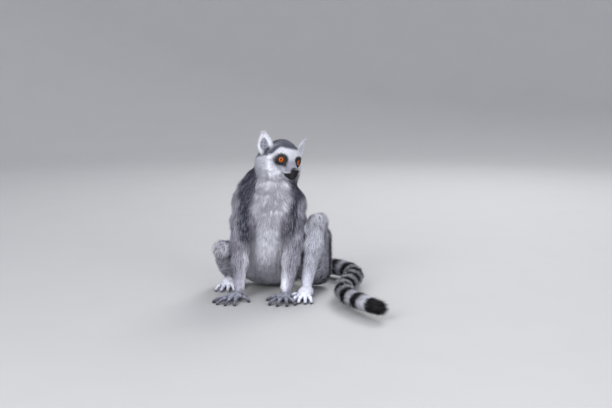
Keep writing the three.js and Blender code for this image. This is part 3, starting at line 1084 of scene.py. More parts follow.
class LemurColours(bpy.types.PropertyGroup):
    """Colours of the coat, the bare skin and the eyes"""

    white: tint("White", "Face, bib, belly, feet and pale rings", (0.85, 0.86, 0.96))
    # Painted shade: the grey that paints shadow between the throat's ruffles and under the jaw
    throat: tint("Throat", "Ruffled fur of the throat", (0.38, 0.37, 0.43))
    crown: tint("Crown", "Cap over the crown and nape", (0.075, 0.078, 0.115))
    slate: tint("Slate", "Dark bands beside the bib", (0.040, 0.043, 0.075))
    back: tint("Back", "Grey of the back", (0.29, 0.265, 0.29))
    flank: tint("Flank", "Paler grey of the flanks", (0.36, 0.36, 0.43))
    arm: tint("Arm", "Brownish grey of the arms", (0.23, 0.21, 0.27))
    thigh: tint("Thigh", "Light grey of the thighs", (0.56, 0.57, 0.69))
    hand: tint("Hand", "Short fur of the hands", (0.15, 0.155, 0.205))
    muzzle: tint("Muzzle", "Grey bridge of the nose", (0.26, 0.26, 0.34))
    ear: tint("Ear", "Inside of the ears", (0.10, 0.10, 0.14))
    black: tint("Black", "Eye patches, muzzle and dark rings", (0.012, 0.011, 0.014))
    iris: tint("Iris", "Orange of the eyes", (0.68, 0.135, 0.010))


class LemurCoat(bpy.types.PropertyGroup):
    """How full and long the coat of tufts is"""

    fullness: bpy.props.FloatProperty(
        name="Fullness", description="Number of tufts as a share of the full coat",
        default=1.0, min=0.05, max=1.0, subtype="FACTOR",
    )
    length: bpy.props.FloatProperty(
        name="Length", description="Length of the tufts as a share of the natural coat",
        default=1.0, min=0.3, max=1.3, subtype="FACTOR",
    )
    seed: bpy.props.IntProperty(
        name="Seed", description="Where the tufts fall", default=7, min=0, max=999
    )


class LemurStage(bpy.types.PropertyGroup):
    """The floor and where the camera stands"""

    floor: bpy.props.FloatProperty(
        name="Floor", description="Width of the floor", default=9.0, unit="LENGTH"
    )
    distance: bpy.props.FloatProperty(
        name="Distance", description="Camera's distance", default=2.6, unit="LENGTH"
    )
    elevation: bpy.props.FloatProperty(
        name="Elevation", description="Camera's angle above the horizon",
        default=math.radians(8), subtype="ANGLE",
    )


# ---------------------------------------------------------------- nodes

def set_inputs(tree, node, values):
    """Gives a node's inputs their values, or joins them to other sockets."""
    for key, value in dict(values).items():
        if isinstance(key, int):
            socket = node.inputs[key]
        else:
            socket = next(s for s in node.inputs if s.name == key and s.enabled)
        if isinstance(value, bpy.types.NodeSocket):
            tree.links.new(value, socket)
        else:
            socket.default_value = value


def add_node(tree, kind, values=(), **options):
    """A node with its options set before its inputs, because they decide which are live."""
    node = tree.nodes.new(kind)
    for option, value in options.items():
        setattr(node, option, value)
    set_inputs(tree, node, values)
    return node


def result(node):
    """The node's first live output."""
    return next(socket for socket in node.outputs if socket.enabled)


def sums(tree, operation, *values):
    return result(add_node(tree, "ShaderNodeMath", dict(enumerate(values)), operation=operation))


def vectors(tree, operation, *values, **named):
    inputs = dict(enumerate(values)) | named
    return result(add_node(tree, "ShaderNodeVectorMath", inputs, operation=operation))


def vectors_dot(tree, first, second):
    node = add_node(tree, "ShaderNodeVectorMath", {0: first, 1: second}, operation="DOT_PRODUCT")
    return node.outputs["Value"]


def stored(tree, name, kind):
    return result(
        add_node(tree, "GeometryNodeInputNamedAttribute", {"Name": name}, data_type=kind)
    )


def random_value(tree, low, high, seed):
    node = add_node(tree, "FunctionNodeRandomValue", data_type="FLOAT")
    node.inputs[2].default_value = low
    node.inputs[3].default_value = high
    tree.links.new(seed, node.inputs[8])
    return node.outputs[1]


def kept(tree, geometry, name, kind, value, domain="POINT"):
    """The geometry with a value kept on it under a name."""
    return result(add_node(tree, "GeometryNodeStoreNamedAttribute", {
        "Geometry": geometry, "Name": name, "Value": value,
    }, data_type=kind, domain=domain))


def tuft_sockets(tree):
    """Gives the tree its named inputs and its output, and returns the inputs."""
    socket = tree.interface.new_socket
    socket("Geometry", in_out="INPUT", socket_type="NodeSocketGeometry")
    for name, kind, value in (
        ("Plot", "NodeSocketInt", 0),
        ("Density", "NodeSocketFloat", 1000.0),
        ("Length", "NodeSocketFloat", 1.0),
        ("Spread", "NodeSocketFloat", 0.2),
        ("Wave", "NodeSocketFloat", 0.5),
        ("Seed", "NodeSocketInt", 0),
        ("Patch", "NodeSocketFloat", 0.003),
    ):
        socket(name, in_out="INPUT", socket_type=kind).default_value = value
    socket("Strands", in_out="INPUT", socket_type="NodeSocketCollection")
    socket("Material", in_out="INPUT", socket_type="NodeSocketMaterial")
    socket("Geometry", in_out="OUTPUT", socket_type="NodeSocketGeometry")
    return tree.nodes.new("NodeGroupInput").outputs


def tuft_roots(tree, given):
    """Points strewn over the plot's faces, and the skin's normal at them."""
    chosen = add_node(tree, "FunctionNodeCompare", data_type="INT", operation="EQUAL")
    tree.links.new(stored(tree, "plot", "INT"), chosen.inputs[2])
    tree.links.new(given["Plot"], chosen.inputs[3])
    density = sums(tree, "MULTIPLY", given["Density"], stored(tree, "growth", "FLOAT"))
    roots = add_node(tree, "GeometryNodeDistributePointsOnFaces", {
        "Mesh": given["Geometry"], "Selection": result(chosen), "Density": density,
        "Seed": given["Seed"],
    })
    points, normal = roots.outputs["Points"], roots.outputs["Normal"]
    points = kept(tree, points, "chance", "FLOAT", random_value(tree, 0, 1, given["Seed"]))
    points = kept(tree, points, "place", "FLOAT_VECTOR", stored(tree, "OFBake", "FLOAT_VECTOR"))
    return kept(tree, points, "facing", "FLOAT_VECTOR", normal), normal


def lock_wave(tree, given):
    """A sideways pull that tufts near one another share, which draws them into locks."""
    here = result(tree.nodes.new("GeometryNodeInputPosition"))
    skewed = add_node(tree, "ShaderNodeVectorRotate", {
        "Vector": here, "Axis": (0.4, 0.6, 0.7), "Angle": 0.9,
    })
    locks = add_node(tree, "ShaderNodeTexNoise", {
        "Vector": result(skewed), "Scale": LOCKS_PER_METRE, "Detail": 2.0, "Roughness": 0.6,
    })
    wave = vectors(tree, "SUBTRACT", locks.outputs["Color"], (0.5, 0.5, 0.5))
    return vectors(tree, "SCALE", wave, Scale=given["Wave"])


def tuft_direction(tree, given, normal):
    """Along the lie of the coat, raised by its lift, drawn into locks and strayed by chance."""
    chance = random_value(tree, 0.7, 1.3, sums(tree, "ADD", given["Seed"], 1.0))
    lift = sums(tree, "MULTIPLY", stored(tree, "lift", "FLOAT"), chance)
    lie = stored(tree, "lie", "FLOAT_VECTOR")
    flat = vectors(tree, "SCALE", lie, Scale=sums(tree, "COSINE", lift))
    risen = vectors(tree, "SCALE", normal, Scale=sums(tree, "SINE", lift))
    wave = lock_wave(tree, given)
    out = sums(tree, "MULTIPLY", vectors_dot(tree, wave, normal), -0.8)
    level = vectors(tree, "SCALE", normal, Scale=out)
    stray = add_node(tree, "FunctionNodeRandomValue", data_type="FLOAT_VECTOR")
    stray.inputs[0].default_value = (-1, -1, -1)
    stray.inputs[1].default_value = (1, 1, 1)
    tree.links.new(given["Seed"], stray.inputs[8])
    stray = vectors(tree, "SCALE", stray.outputs[0], Scale=given["Spread"])
    raised = vectors(tree, "ADD", flat, risen)
    waved = vectors(tree, "ADD", raised, vectors(tree, "ADD", wave, level))
    return vectors(tree, "NORMALIZE", vectors(tree, "ADD", waved, stray))


def above_the_floor(tree, direction, size):
    """The direction, turned up where a tuft with its bend would reach under the floor."""
    parts = add_node(tree, "ShaderNodeSeparateXYZ", {0: direction})
    here = result(tree.nodes.new("GeometryNodeInputPosition"))
    root = add_node(tree, "ShaderNodeSeparateXYZ", {0: here})
    lowest = sums(tree, "DIVIDE", sums(tree, "SUBTRACT", MM, root.outputs["Z"]), size)
    lowest = sums(tree, "ADD", lowest, STRAND_BEND + 0.05)
    return result(add_node(tree, "ShaderNodeCombineXYZ", {
        "X": parts.outputs["X"], "Y": parts.outputs["Y"],
        "Z": sums(tree, "MAXIMUM", parts.outputs["Z"], lowest),
    }))


def tufts_on(tree, given, points, normal, direction, size):
    """A strand of a chance kind on every point, turned along its direction."""
    along = add_node(tree, "FunctionNodeAlignRotationToVector", {"Vector": direction}, axis="Z")
    turned = add_node(tree, "FunctionNodeAlignRotationToVector", {
        "Rotation": result(along), "Vector": normal,
    }, axis="Y", pivot_axis="Z")
    strands = add_node(tree, "GeometryNodeCollectionInfo", {
        "Collection": given["Strands"], "Separate Children": True, "Reset Children": True,
    })
    which = add_node(tree, "FunctionNodeRandomValue", data_type="INT")
    which.inputs[4].default_value = 0
    which.inputs[5].default_value = len(SWAYS) - 1
    tree.links.new(given["Seed"], which.inputs[8])
    tufts = add_node(tree, "GeometryNodeInstanceOnPoints", {
        "Points": points, "Instance": result(strands), "Pick Instance": True,
        "Instance Index": which.outputs[2], "Rotation": result(turned), "Scale": size,
    })
    return result(add_node(tree, "GeometryNodeRealizeInstances", {"Geometry": result(tufts)}))


def coat_tree():
    """Tufts over the faces of one plot, along the lie of the coat, as plain mesh."""
    tree = bpy.data.node_groups.new("Tufts", "GeometryNodeTree")
    given = tuft_sockets(tree)
    points, normal = tuft_roots(tree, given)
    chance = random_value(tree, 0.7, 1.15, sums(tree, "ADD", given["Seed"], 2.0))
    size = sums(tree, "MULTIPLY", stored(tree, "hair", "FLOAT"), given["Length"])
    size = sums(tree, "MULTIPLY", size, chance)
    direction = above_the_floor(tree, tuft_direction(tree, given, normal), size)
    tufts = tufts_on(tree, given, points, normal, direction, size)
    patch = vectors(tree, "SUBTRACT", stored(tree, "Strand", "FLOAT_VECTOR"), (0.5, 0.5, 0.0))
    patch = vectors(tree, "SCALE", patch, Scale=given["Patch"])
    patch = vectors(tree, "ADD", patch, stored(tree, "place", "FLOAT_VECTOR"))
    tufts = kept(tree, tufts, "OFBake", "FLOAT2", patch, "CORNER")
    for name in ("place", "lie", "hair", "lift", "growth", "plot", "bare"):
        tufts = result(add_node(tree, "GeometryNodeRemoveAttribute", {"Geometry": tufts, "Name": name}))
    dressed = add_node(tree, "GeometryNodeSetMaterial", {"Geometry": tufts, "Material": given["Material"]})
    tree.links.new(result(dressed), tree.nodes.new("NodeGroupOutput").inputs[0])
    return tree


def strand_mesh(name, width, sway):
    """A tapered three-sided tuft one unit long that bends down towards its tip."""
    steps = (0.0, 0.5)
    halves = np.interp(steps, (0, 0.35, 1), (0.62, 1.0, 0.0)) * width / 2
    vertices = [
        (half * x + sway * step**2, half * y - STRAND_BEND * step**2, step)
        for step, half in zip(steps, halves) for x, y in ((-1, -0.2), (1, -0.2), (0, 0.45))
    ]
    vertices.append((sway, -STRAND_BEND, 1))
    sides = ((0, 1), (1, 2), (2, 0))
    faces = [(0, 2, 1)]
    faces += [(near, far, 3 + far, 3 + near) for near, far in sides]
    faces += [(3 + near, 3 + far, 6) for near, far in sides]
    mesh = bpy.data.meshes.new(name)
    mesh.from_pydata(vertices, [], faces)
    mesh.shade_smooth()
    place = mesh.uv_layers.new(name="Strand")
    for loop in mesh.loops:
        x, _, z = vertices[loop.vertex_index]
        place.data[loop.index].uv = (0.5 + (x - sway * z * z) / width, z)
    return mesh


# ---------------------------------------------------------------- materials

def new_material(name):
    """A material, its node tree and its one shader."""
    material = bpy.data.materials.new(name)
    material.use_nodes = True
    tree = material.node_tree
    return material, tree, tree.nodes["Principled BSDF"]


def shared_group(name, inputs, outputs, fill):
    """The node group of that name, made and filled when a material first asks for it."""
    tree = bpy.data.node_groups.get(name)
    if tree is None:
        tree = bpy.data.node_groups.new(name, "ShaderNodeTree")
        for label, kind, value in inputs:
            socket = tree.interface.new_socket(label, in_out="INPUT", socket_type=kind)
            socket.default_value = value
        for label, kind in outputs:
            tree.interface.new_socket(label, in_out="OUTPUT", socket_type=kind)
        given = tree.nodes.new("NodeGroupInput").outputs
        ends = tree.nodes.new("NodeGroupOutput").inputs
        for label, source in fill(tree, given).items():
            tree.links.new(source, ends[label])
    return tree


def placed_group(tree, group, values):
    """A shared group placed in a material's tree, with its own values or links."""
    return add_node(tree, "ShaderNodeGroup", values, node_tree=group)


def coat_colour(tree, given):
    """The coat's tone with chance differences between tufts, dark roots and grizzled tips."""
    value = sums(tree, "MULTIPLY_ADD", given["Chance"], 0.30, 0.88)
    root = add_node(tree, "ShaderNodeMapRange", {
        "Value": given["Along"], "From Min": 0.0, "From Max": 0.5, "To Min": 0.74, "To Max": 1.0,
    })
    value = sums(tree, "MULTIPLY", value, result(root))
    shaded = add_node(tree, "ShaderNodeVectorMath", {0: given["Tone"]}, operation="SCALE")
    tree.links.new(value, shaded.inputs["Scale"])
    dark = sums(tree, "LESS_THAN", given["Chance"], 0.30)
    dark = sums(tree, "MULTIPLY", dark, sums(tree, "MULTIPLY", given["Grizzle"], 0.80))
    darker = add_node(tree, "ShaderNodeMix", {
        "Factor": dark, "A": shaded.outputs[0], "B": (0.05, 0.048, 0.06, 1),
    }, data_type="RGBA")
    pale = sums(tree, "GREATER_THAN", given["Chance"], 0.76)
    pale = sums(tree, "MULTIPLY", pale, sums(tree, "MULTIPLY", given["Grizzle"], given["Along"]))
    paler = add_node(tree, "ShaderNodeMix", {
        "Factor": sums(tree, "MULTIPLY", pale, 0.65), "A": result(darker), "B": (0.78, 0.77, 0.82, 1),
    }, data_type="RGBA")
    return {"Colour": result(paler)}


def coat_colour_group():
    inputs = (
        ("Tone", "NodeSocketColor", (0.5, 0.5, 0.5, 1)),
        ("Chance", "NodeSocketFloat", 0.5),
        ("Along", "NodeSocketFloat", 0.5),
        ("Grizzle", "NodeSocketFloat", 0.5),
    )
    return shared_group("Coat colour", inputs, [("Colour", "NodeSocketColor")], coat_colour)


def pores(tree, given):
    """Fine cells in the skin, as a mask and as a bumped normal."""
    where = add_node(tree, "ShaderNodeTexCoord").outputs["Object"]
    cells = add_node(tree, "ShaderNodeTexVoronoi", {"Vector": where, "Scale": given["Scale"]})
    bump = add_node(tree, "ShaderNodeBump", {
        "Strength": given["Strength"], "Distance": PORE_DEPTH, "Height": cells.outputs["Distance"],
    })
    return {"Mask": cells.outputs["Distance"], "Normal": result(bump)}


def pores_group():
    inputs = (("Scale", "NodeSocketFloat", 1500.0), ("Strength", "NodeSocketFloat", 0.35))
    outputs = (("Mask", "NodeSocketFloat"), ("Normal", "NodeSocketVector"))
    return shared_group("Pores", inputs, outputs, pores)


def mottle(tree, given):
    """Two colours and two roughnesses, mixed by a mask."""
    shade = add_node(tree, "ShaderNodeMix", {
        "Factor": given["Mask"], "A": given["Dark"], "B": given["Pale"],
    }, data_type="RGBA")
    rough = add_node(tree, "ShaderNodeMapRange", {
        "Value": given["Mask"], "To Min": given["Smoothest"], "To Max": given["Roughest"],
    })
    return {"Colour": result(shade), "Roughness": result(rough)}


def mottle_group():
    inputs = (
        ("Mask", "NodeSocketFloat", 0.5),
        ("Dark", "NodeSocketColor", (0.01, 0.01, 0.01, 1)),
        ("Pale", "NodeSocketColor", (0.1, 0.1, 0.1, 1)),
        ("Smoothest", "NodeSocketFloat", 0.3),
        ("Roughest", "NodeSocketFloat", 0.5),
    )
    outputs = (("Colour", "NodeSocketColor"), ("Roughness", "NodeSocketFloat"))
    return shared_group("Mottle", inputs, outputs, mottle)


def attribute(tree, name):
    return add_node(tree, "ShaderNodeAttribute", attribute_name=name)


def coat_material():
    """Tufts in the tone at their roots, shaded partly by the way that the skin there faces."""
    material, tree, shader = new_material("Coat")
    strand = add_node(tree, "ShaderNodeUVMap", uv_map="Strand")
    split = add_node(tree, "ShaderNodeSeparateXYZ", {0: result(strand)})
    group = placed_group(tree, coat_colour_group(), {
        "Tone": attribute(tree, "tone").outputs["Color"],
        "Chance": attribute(tree, "chance").outputs["Fac"],
        "Grizzle": attribute(tree, "grizzle").outputs["Fac"],
        "Along": split.outputs["Y"],
    })
    soft = add_node(tree, "ShaderNodeMix", {
        "Factor": 0.7,
        "A": add_node(tree, "ShaderNodeNewGeometry").outputs["Normal"],
        "B": attribute(tree, "facing").outputs["Vector"],
    }, data_type="VECTOR")
    set_inputs(tree, shader, {
        "Base Color": group.outputs["Colour"],
        "Roughness": 0.65,
        "Specular IOR Level": 0.14,
        "Normal": vectors(tree, "NORMALIZE", result(soft)),
    })
    return material


def skin_material():
    """Skin in the tone of the coat that covers it, moister where it is bare."""
    material, tree, shader = new_material("Skin")
    where = add_node(tree, "ShaderNodeTexCoord").outputs["Object"]
    speck = add_node(tree, "ShaderNodeTexNoise", {"Vector": where, "Scale": 900.0, "Detail": 2.0})
    group = placed_group(tree, coat_colour_group(), {
        "Tone": attribute(tree, "tone").outputs["Color"],
        "Chance": speck.outputs["Fac"],
        "Grizzle": attribute(tree, "grizzle").outputs["Fac"],
        "Along": 0.35,
    })
    bare = attribute(tree, "bare").outputs["Fac"]
    rough = add_node(tree, "ShaderNodeMapRange", {"Value": bare, "To Min": 0.75, "To Max": 0.42})
    grain = placed_group(tree, pores_group(), {"Scale": 1500.0, "Strength": 0.35})
    set_inputs(tree, shader, {
        "Base Color": group.outputs["Colour"],
        "Roughness": result(rough),
        "Specular IOR Level": 0.4,
        "Normal": grain.outputs["Normal"],
    })
    return material


def nose_material():
    material, tree, shader = new_material("Nose skin")
    grain = placed_group(tree, pores_group(), {"Scale": 1100.0, "Strength": 0.5})
    shade = placed_group(tree, mottle_group(), {
        "Mask": grain.outputs["Mask"],
        "Dark": (0.004, 0.004, 0.006, 1), "Pale": (0.012, 0.012, 0.016, 1),
        "Smoothest": 0.34, "Roughest": 0.5,
    })
    set_inputs(tree, shader, {
        "Base Color": shade.outputs["Colour"],
        "Roughness": shade.outputs["Roughness"],
        "Specular IOR Level": 0.18,
        "Normal": grain.outputs["Normal"],
    })
    return material


def eye_material():
    """Pupil, streaked iris, dark rim and brown white, by angle from the eye's axis."""
    material, tree, shader = new_material("Eye")
    place = add_node(tree, "ShaderNodeUVMap", uv_map="Eye")
    split = add_node(tree, "ShaderNodeSeparateXYZ", {0: result(place)})
    turn = sums(tree, "MULTIPLY", split.outputs["X"], 2 * math.pi)
    ring = add_node(tree, "ShaderNodeCombineXYZ", {
        "X": sums(tree, "MULTIPLY", sums(tree, "COSINE", turn), 5.0),
        "Y": sums(tree, "MULTIPLY", sums(tree, "SINE", turn), 5.0),
        "Z": sums(tree, "MULTIPLY", split.outputs["Y"], 3.0),
    })
    streaks = add_node(tree, "ShaderNodeTexNoise", {
        "Vector": result(ring), "Scale": 3.0, "Detail": 4.0, "Roughness": 0.7,
    })
    iris = np.array(settings().iris)
    ramp = add_node(tree, "ShaderNodeValToRGB", {"Fac": split.outputs["Y"]})
    stops = (
        (0.0, (0.002, 0.002, 0.002)),
        (IRIS_PUPIL, (0.002, 0.002, 0.002)),
        (IRIS_PUPIL + 0.012, iris * 0.55),
        (0.5 * (IRIS_PUPIL + IRIS_EDGE), iris),
        (IRIS_EDGE - 0.04, iris * 0.6),
        (IRIS_EDGE, (0.006, 0.004, 0.004)),
        (1.0, (0.012, 0.009, 0.008)),
    )
    elements = ramp.color_ramp.elements
    for position, value in stops[1:-1]:
        elements.new(position).color = (*value, 1)
    elements[0].color = (*stops[0][1], 1)
    elements[-1].color = (*stops[-1][1], 1)
    light = add_node(tree, "ShaderNodeMapRange", {
        "Value": streaks.outputs["Fac"], "From Min": 0.3, "From Max": 0.7, "To Min": 0.6, "To Max": 1.35,
    })
    shaded = add_node(tree, "ShaderNodeVectorMath", {0: ramp.outputs["Color"]}, operation="SCALE")
    tree.links.new(result(light), shaded.inputs["Scale"])
    set_inputs(tree, shader, {
        "Base Color": shaded.outputs[0],
        "Roughness": 0.5,
        "Specular IOR Level": 0.0,
        "Coat IOR": 1.38,
        "Coat Weight": 0.7,
        "Coat Roughness": 0.03,
    })
    return material


def nail_material():
    material, tree, shader = new_material("Nail")
    where = add_node(tree, "ShaderNodeTexCoord").outputs["Object"]
    grain = add_node(tree, "ShaderNodeTexNoise", {"Vector": where, "Scale": 700.0})
    shade = placed_group(tree, mottle_group(), {
        "Mask": grain.outputs["Fac"],
        "Dark": (0.02, 0.018, 0.02, 1), "Pale": (0.10, 0.09, 0.10, 1),
        "Smoothest": 0.25, "Roughest": 0.5,
    })
    set_inputs(tree, shader, {
        "Base Color": shade.outputs["Colour"],
        "Roughness": shade.outputs["Roughness"],
    })
    return material


def floor_material():
    material, tree, shader = new_material("Floor")
    where = add_node(tree, "ShaderNodeTexCoord").outputs["Object"]
    grain = add_node(tree, "ShaderNodeTexNoise", {"Vector": where, "Scale": 8.0})
    shade = placed_group(tree, mottle_group(), {
        "Mask": grain.outputs["Fac"],
        "Dark": (0.36, 0.36, 0.365, 1), "Pale": (0.38, 0.38, 0.383, 1),
    })
    set_inputs(tree, shader, {"Base Color": shade.outputs["Colour"], "Roughness": 0.7})
    return material


# ---------------------------------------------------------------- skin


def plots_at(spots):
    """The piece of coat that each spot of the skin belongs to."""
    nearest = np.stack([part.value(spots) for part in PARTS]).argmin(axis=0)
    names = np.array([part.name for part in PARTS])[nearest]
    sides = np.array([part.side for part in PARTS])[nearest]
    local = in_head(spots)
    front = spots[:, 1] < -18
    plot = np.full(len(spots), PLOT_NUMBERS["coat_back"])
    plot[(names == "trunk") & front] = PLOT_NUMBERS["coat_throat"]
    plot[(names == "trunk") & front & (spots[:, 2] < 132)] = PLOT_NUMBERS["coat_belly"]
    plot[names == "head"] = PLOT_NUMBERS["coat_head"]
    plot[(names == "head") & (local[:, 1] < -12)] = PLOT_NUMBERS["coat_face"]
    plot[names == "ear"] = PLOT_NUMBERS["coat_head"]
    plot[(names == "upper_arm") | (names == "forearm")] = PLOT_NUMBERS["coat_arms"]
    legs = (names == "thigh") | (names == "shin")
    plot[legs & (sides == RIGHT)] = PLOT_NUMBERS["coat_leg_right"]
    plot[legs & (sides == LEFT)] = PLOT_NUMBERS["coat_leg_left"]
    plot[(names == "hand") | (names == "foot")] = PLOT_NUMBERS["coat_hands_feet"]
    tail = names == "tail"
    half = tail_share[tail_nearest(spots[tail])] > 0.5
    plot[tail] = np.where(half, PLOT_NUMBERS["coat_tail_end"], PLOT_NUMBERS["coat_tail_root"])
    return plot


def thinned(piece, keep, share):
    """The piece's mesh with fewer faces, all of them taken away from where keep is 0."""
    group = piece.vertex_groups.new(name="under the coat")
    group.add((keep < 0.5).nonzero()[0].tolist(), 1.0, "REPLACE")
    modifier = piece.modifiers.new("Thin", "DECIMATE")
    modifier.ratio = share
    modifier.vertex_group = group.name
    graph = bpy.context.evaluated_depsgraph_get()
    mesh = bpy.data.meshes.new_from_object(piece.evaluated_get(graph))
    piece.modifiers.clear()
    piece.vertex_groups.clear()
    return mesh


def fine_places(spots):
    """1 where the skin shows its own detail: head, hands and feet."""
    away = [part.value(spots) for part in PARTS if part.name in ("head", "ear", "hand", "foot")]
    return (np.min(away, axis=0) < 1.5).astype(float)


def face_places(spots):
    """True round the eyes and the mouth, where the net is split once more."""
    local = in_head(spots)
    eyes = [
        np.linalg.norm(local - mirrored(EYE_PLACE + EYE_FACING * 8, side), axis=1) < 12.5
        for side in (-1, 1)
    ]
    mouth = (local[:, 1] < -40) & (np.abs(local[:, 2] - mouth_height(local)) < 4)
    return eyes[0] | eyes[1] | mouth


def split_finer(mesh, chosen):
    """Splits every edge whose two ends are chosen, and makes all faces triangles."""
    net = bmesh.new()
    net.from_mesh(mesh)
    edges = [edge for edge in net.edges if chosen[edge.verts[0].index] and chosen[edge.verts[1].index]]
    bmesh.ops.subdivide_edges(net, edges=edges, cuts=1, use_grid_fill=True)
    bmesh.ops.triangulate(net, faces=net.faces)
    net.to_mesh(mesh)
    net.free()


def move_vertices(mesh, spots):
    mesh.vertices.foreach_set("co", (spots * MM).astype(np.float32).ravel())
    mesh.update()


def unwrap(piece):
    """Lays the piece's own shape out flat in its bake map."""
    mesh = piece.data
    mesh.uv_layers.new(name="OFBake")
    bpy.context.view_layer.objects.active = piece
    piece.select_set(True)
    bpy.ops.object.mode_set(mode="EDIT")
    bpy.ops.mesh.select_all(action="SELECT")
    bpy.ops.uv.smart_project(angle_limit=1.15, island_margin=0.002)
    bpy.ops.object.mode_set(mode="OBJECT")
    piece.select_set(False)


def build_skin():
    low = np.array(CAD_BOX[0]) / MM - 2 * SKIN_STEP
    high = np.array(CAD_BOX[1]) / MM + 2 * SKIN_STEP
    vertices, quads = surface_net(skin_form, low, high, SKIN_STEP)
    piece = add_object(mesh_of("skin", settled(skin_form, vertices), quads))
    mesh = thinned(piece, fine_places(places(piece.data)), SKIN_KEPT)
    split_finer(mesh, face_places(places(mesh)))
    spots = settled(skin_form, places(mesh), rounds=1)
    move_vertices(mesh, spots)
    mesh.name = "skin"
    mesh.materials.clear()
    piece.data = mesh
    normals = unit(slope(skin_form, spots, 1.0))
    lie, hair, lift, tone, grizzle = coat_values(spots, normals)
    bare = bare_mask(spots)
    tone = mixed(tone, colour("black"), bare)
    store(mesh, "lie", "FLOAT_VECTOR", lie)
    store(mesh, "hair", "FLOAT", hair * MM)
    store(mesh, "lift", "FLOAT", lift)
    store(mesh, "grizzle", "FLOAT", grizzle)
    store(mesh, "bare", "FLOAT", bare)
    store(mesh, "growth", "FLOAT", 1 - bare)
    store(mesh, "tone", "FLOAT_COLOR", np.column_stack([tone, np.ones(len(tone))]))
    middles = listed(mesh.polygons, "center", np.float32, 3).astype(float)
    plot = plots_at(middles / MM)
    store(mesh, "plot", "INT", plot.astype(np.int32), "FACE")
    mesh.shade_smooth()
    unwrap(piece)
    mesh.materials.append(skin_material())
    return piece


def strand_kinds(name, width):
    """A collection of the kinds of tuft that a plot picks from."""
    strands = bpy.data.collections.new(f"{name}_strands")
    for index, sway in enumerate(SWAYS):
        strand = strand_mesh(f"{name}_strand_{index}", width, sway)
        strands.objects.link(bpy.data.objects.new(strand.name, strand))
    return strands


def grown_on(mesh, name, tree, inputs):
    """The tufts that the tree grows on the mesh, realized as one plain mesh."""
    ground = bpy.data.objects.new("ground", mesh)
    bpy.context.scene.collection.objects.link(ground)
    modifier = ground.modifiers.new("Tufts", "NODES")
    modifier.node_group = tree
    for item in tree.interface.items_tree:
        if item.name in inputs and item.in_out == "INPUT":
            modifier[item.identifier] = inputs[item.name]
    graph = bpy.context.evaluated_depsgraph_get()
    tufts = bpy.data.meshes.new_from_object(ground.evaluated_get(graph))
    bpy.data.objects.remove(ground)
    if not len(tufts.polygons):
        raise RuntimeError(f"no tufts grew on {name}")
    tufts.name = name
    return tufts


def build_coat(skin):
    """Grows each plot of the skin its own tufts, and returns the pieces."""
    coat = bpy.context.scene.lemur_coat
    tree = coat_tree()
    material = coat_material()
    mesh = skin.data
    areas = listed(mesh.polygons, "area", np.float32)
    plot = listed(mesh.attributes["plot"].data, "value", np.int32)
    growth = listed(mesh.attributes["growth"].data, "value", np.float32)
    corners = listed(mesh.loops, "vertex_index", np.int32)
    grown = areas * growth[corners.reshape(-1, 3)].mean(axis=1)
    pieces = []
    for number, (name, count, width, spread, wave) in enumerate(PLOTS):
        strands = strand_kinds(name, width)
        tufts = grown_on(mesh, name, tree, {
            "Plot": number,
            "Density": float(count * coat.fullness / grown[plot == number].sum()),
            "Length": coat.length, "Spread": spread, "Wave": wave,
            "Seed": coat.seed + 10 * number, "Strands": strands, "Material": material,
        })
        for strand in list(strands.objects):
            bpy.data.meshes.remove(strand.data)
        bpy.data.collections.remove(strands)
        pieces.append(add_object(tufts))
    return pieces


# ---------------------------------------------------------------- eyes, nose and nails

def revolved(name, rows, around, place):
    """A closed surface with a pole at each end, rows of vertices placed by a function."""
    vertices = [place(0.0, 0.0)]
    for row in range(1, rows):
        for column in range(around):
            vertices.append(place(row / rows, 2 * math.pi * column / around))
    vertices.append(place(1.0, 0.0))
    faces = []
    last = len(vertices) - 1
    for column in range(around):
        after = (column + 1) % around
        faces.append((0, 1 + column, 1 + after))
        for row in range(rows - 2):
            low, high = 1 + row * around, 1 + (row + 1) * around
            faces.append((low + column, high + column, high + after, low + after))
        base = 1 + (rows - 2) * around
        faces.append((base + column, last, base + after))
    mesh = bpy.data.meshes.new(name)
    mesh.from_pydata([Vector(vertex) * MM for vertex in vertices], [], faces)
    net = bmesh.new()
    net.from_mesh(mesh)
    bmesh.ops.recalc_face_normals(net, faces=net.faces)
    net.to_mesh(mesh)
    net.free()
    mesh.shade_smooth()
    return mesh


def build_eye(side, word, material):
    """An eyeball with a clear bulge over its iris, on the axis that the lids open on."""
    axes = eye_axes(side)
    centre = mirrored(EYE_PLACE, side)

    def place(share, turn):
        angle = math.pi * share
        bulge = 0.75 * math.exp(-((share / 0.2) ** 4))
        radius = EYE_RADIUS + bulge - 0.1
        local = (
            math.sin(angle) * math.cos(turn) * axes[0] + math.sin(angle) * math.sin(turn) * axes[1]
            + math.cos(angle) * axes[2]
        )
        return from_head(centre + radius * local)

    rows, around = 40, 64
    mesh = revolved(f"eyeball_{word}", rows, around, place)
    layer = mesh.uv_layers.new(name="Eye")
    for face in mesh.polygons:
        columns = [(vertex - 1) % around for vertex in face.vertices if 0 < vertex < len(mesh.vertices) - 1]
        wraps = 0 in columns and around - 1 in columns
        for loop in face.loop_indices:
            vertex = mesh.loops[loop].vertex_index
            if vertex in (0, len(mesh.vertices) - 1):
                column, row = np.mean([c + around * (wraps and c == 0) for c in columns]), 0
                row = 0 if vertex == 0 else rows
            else:
                column, row = (vertex - 1) % around, 1 + (vertex - 1) // around
                column += around * (wraps and column == 0)
            layer.data[loop].uv = (column / around, row / rows)
    piece = add_object(mesh, material)
    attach(piece, "root")
    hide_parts(f"eye_{word}")


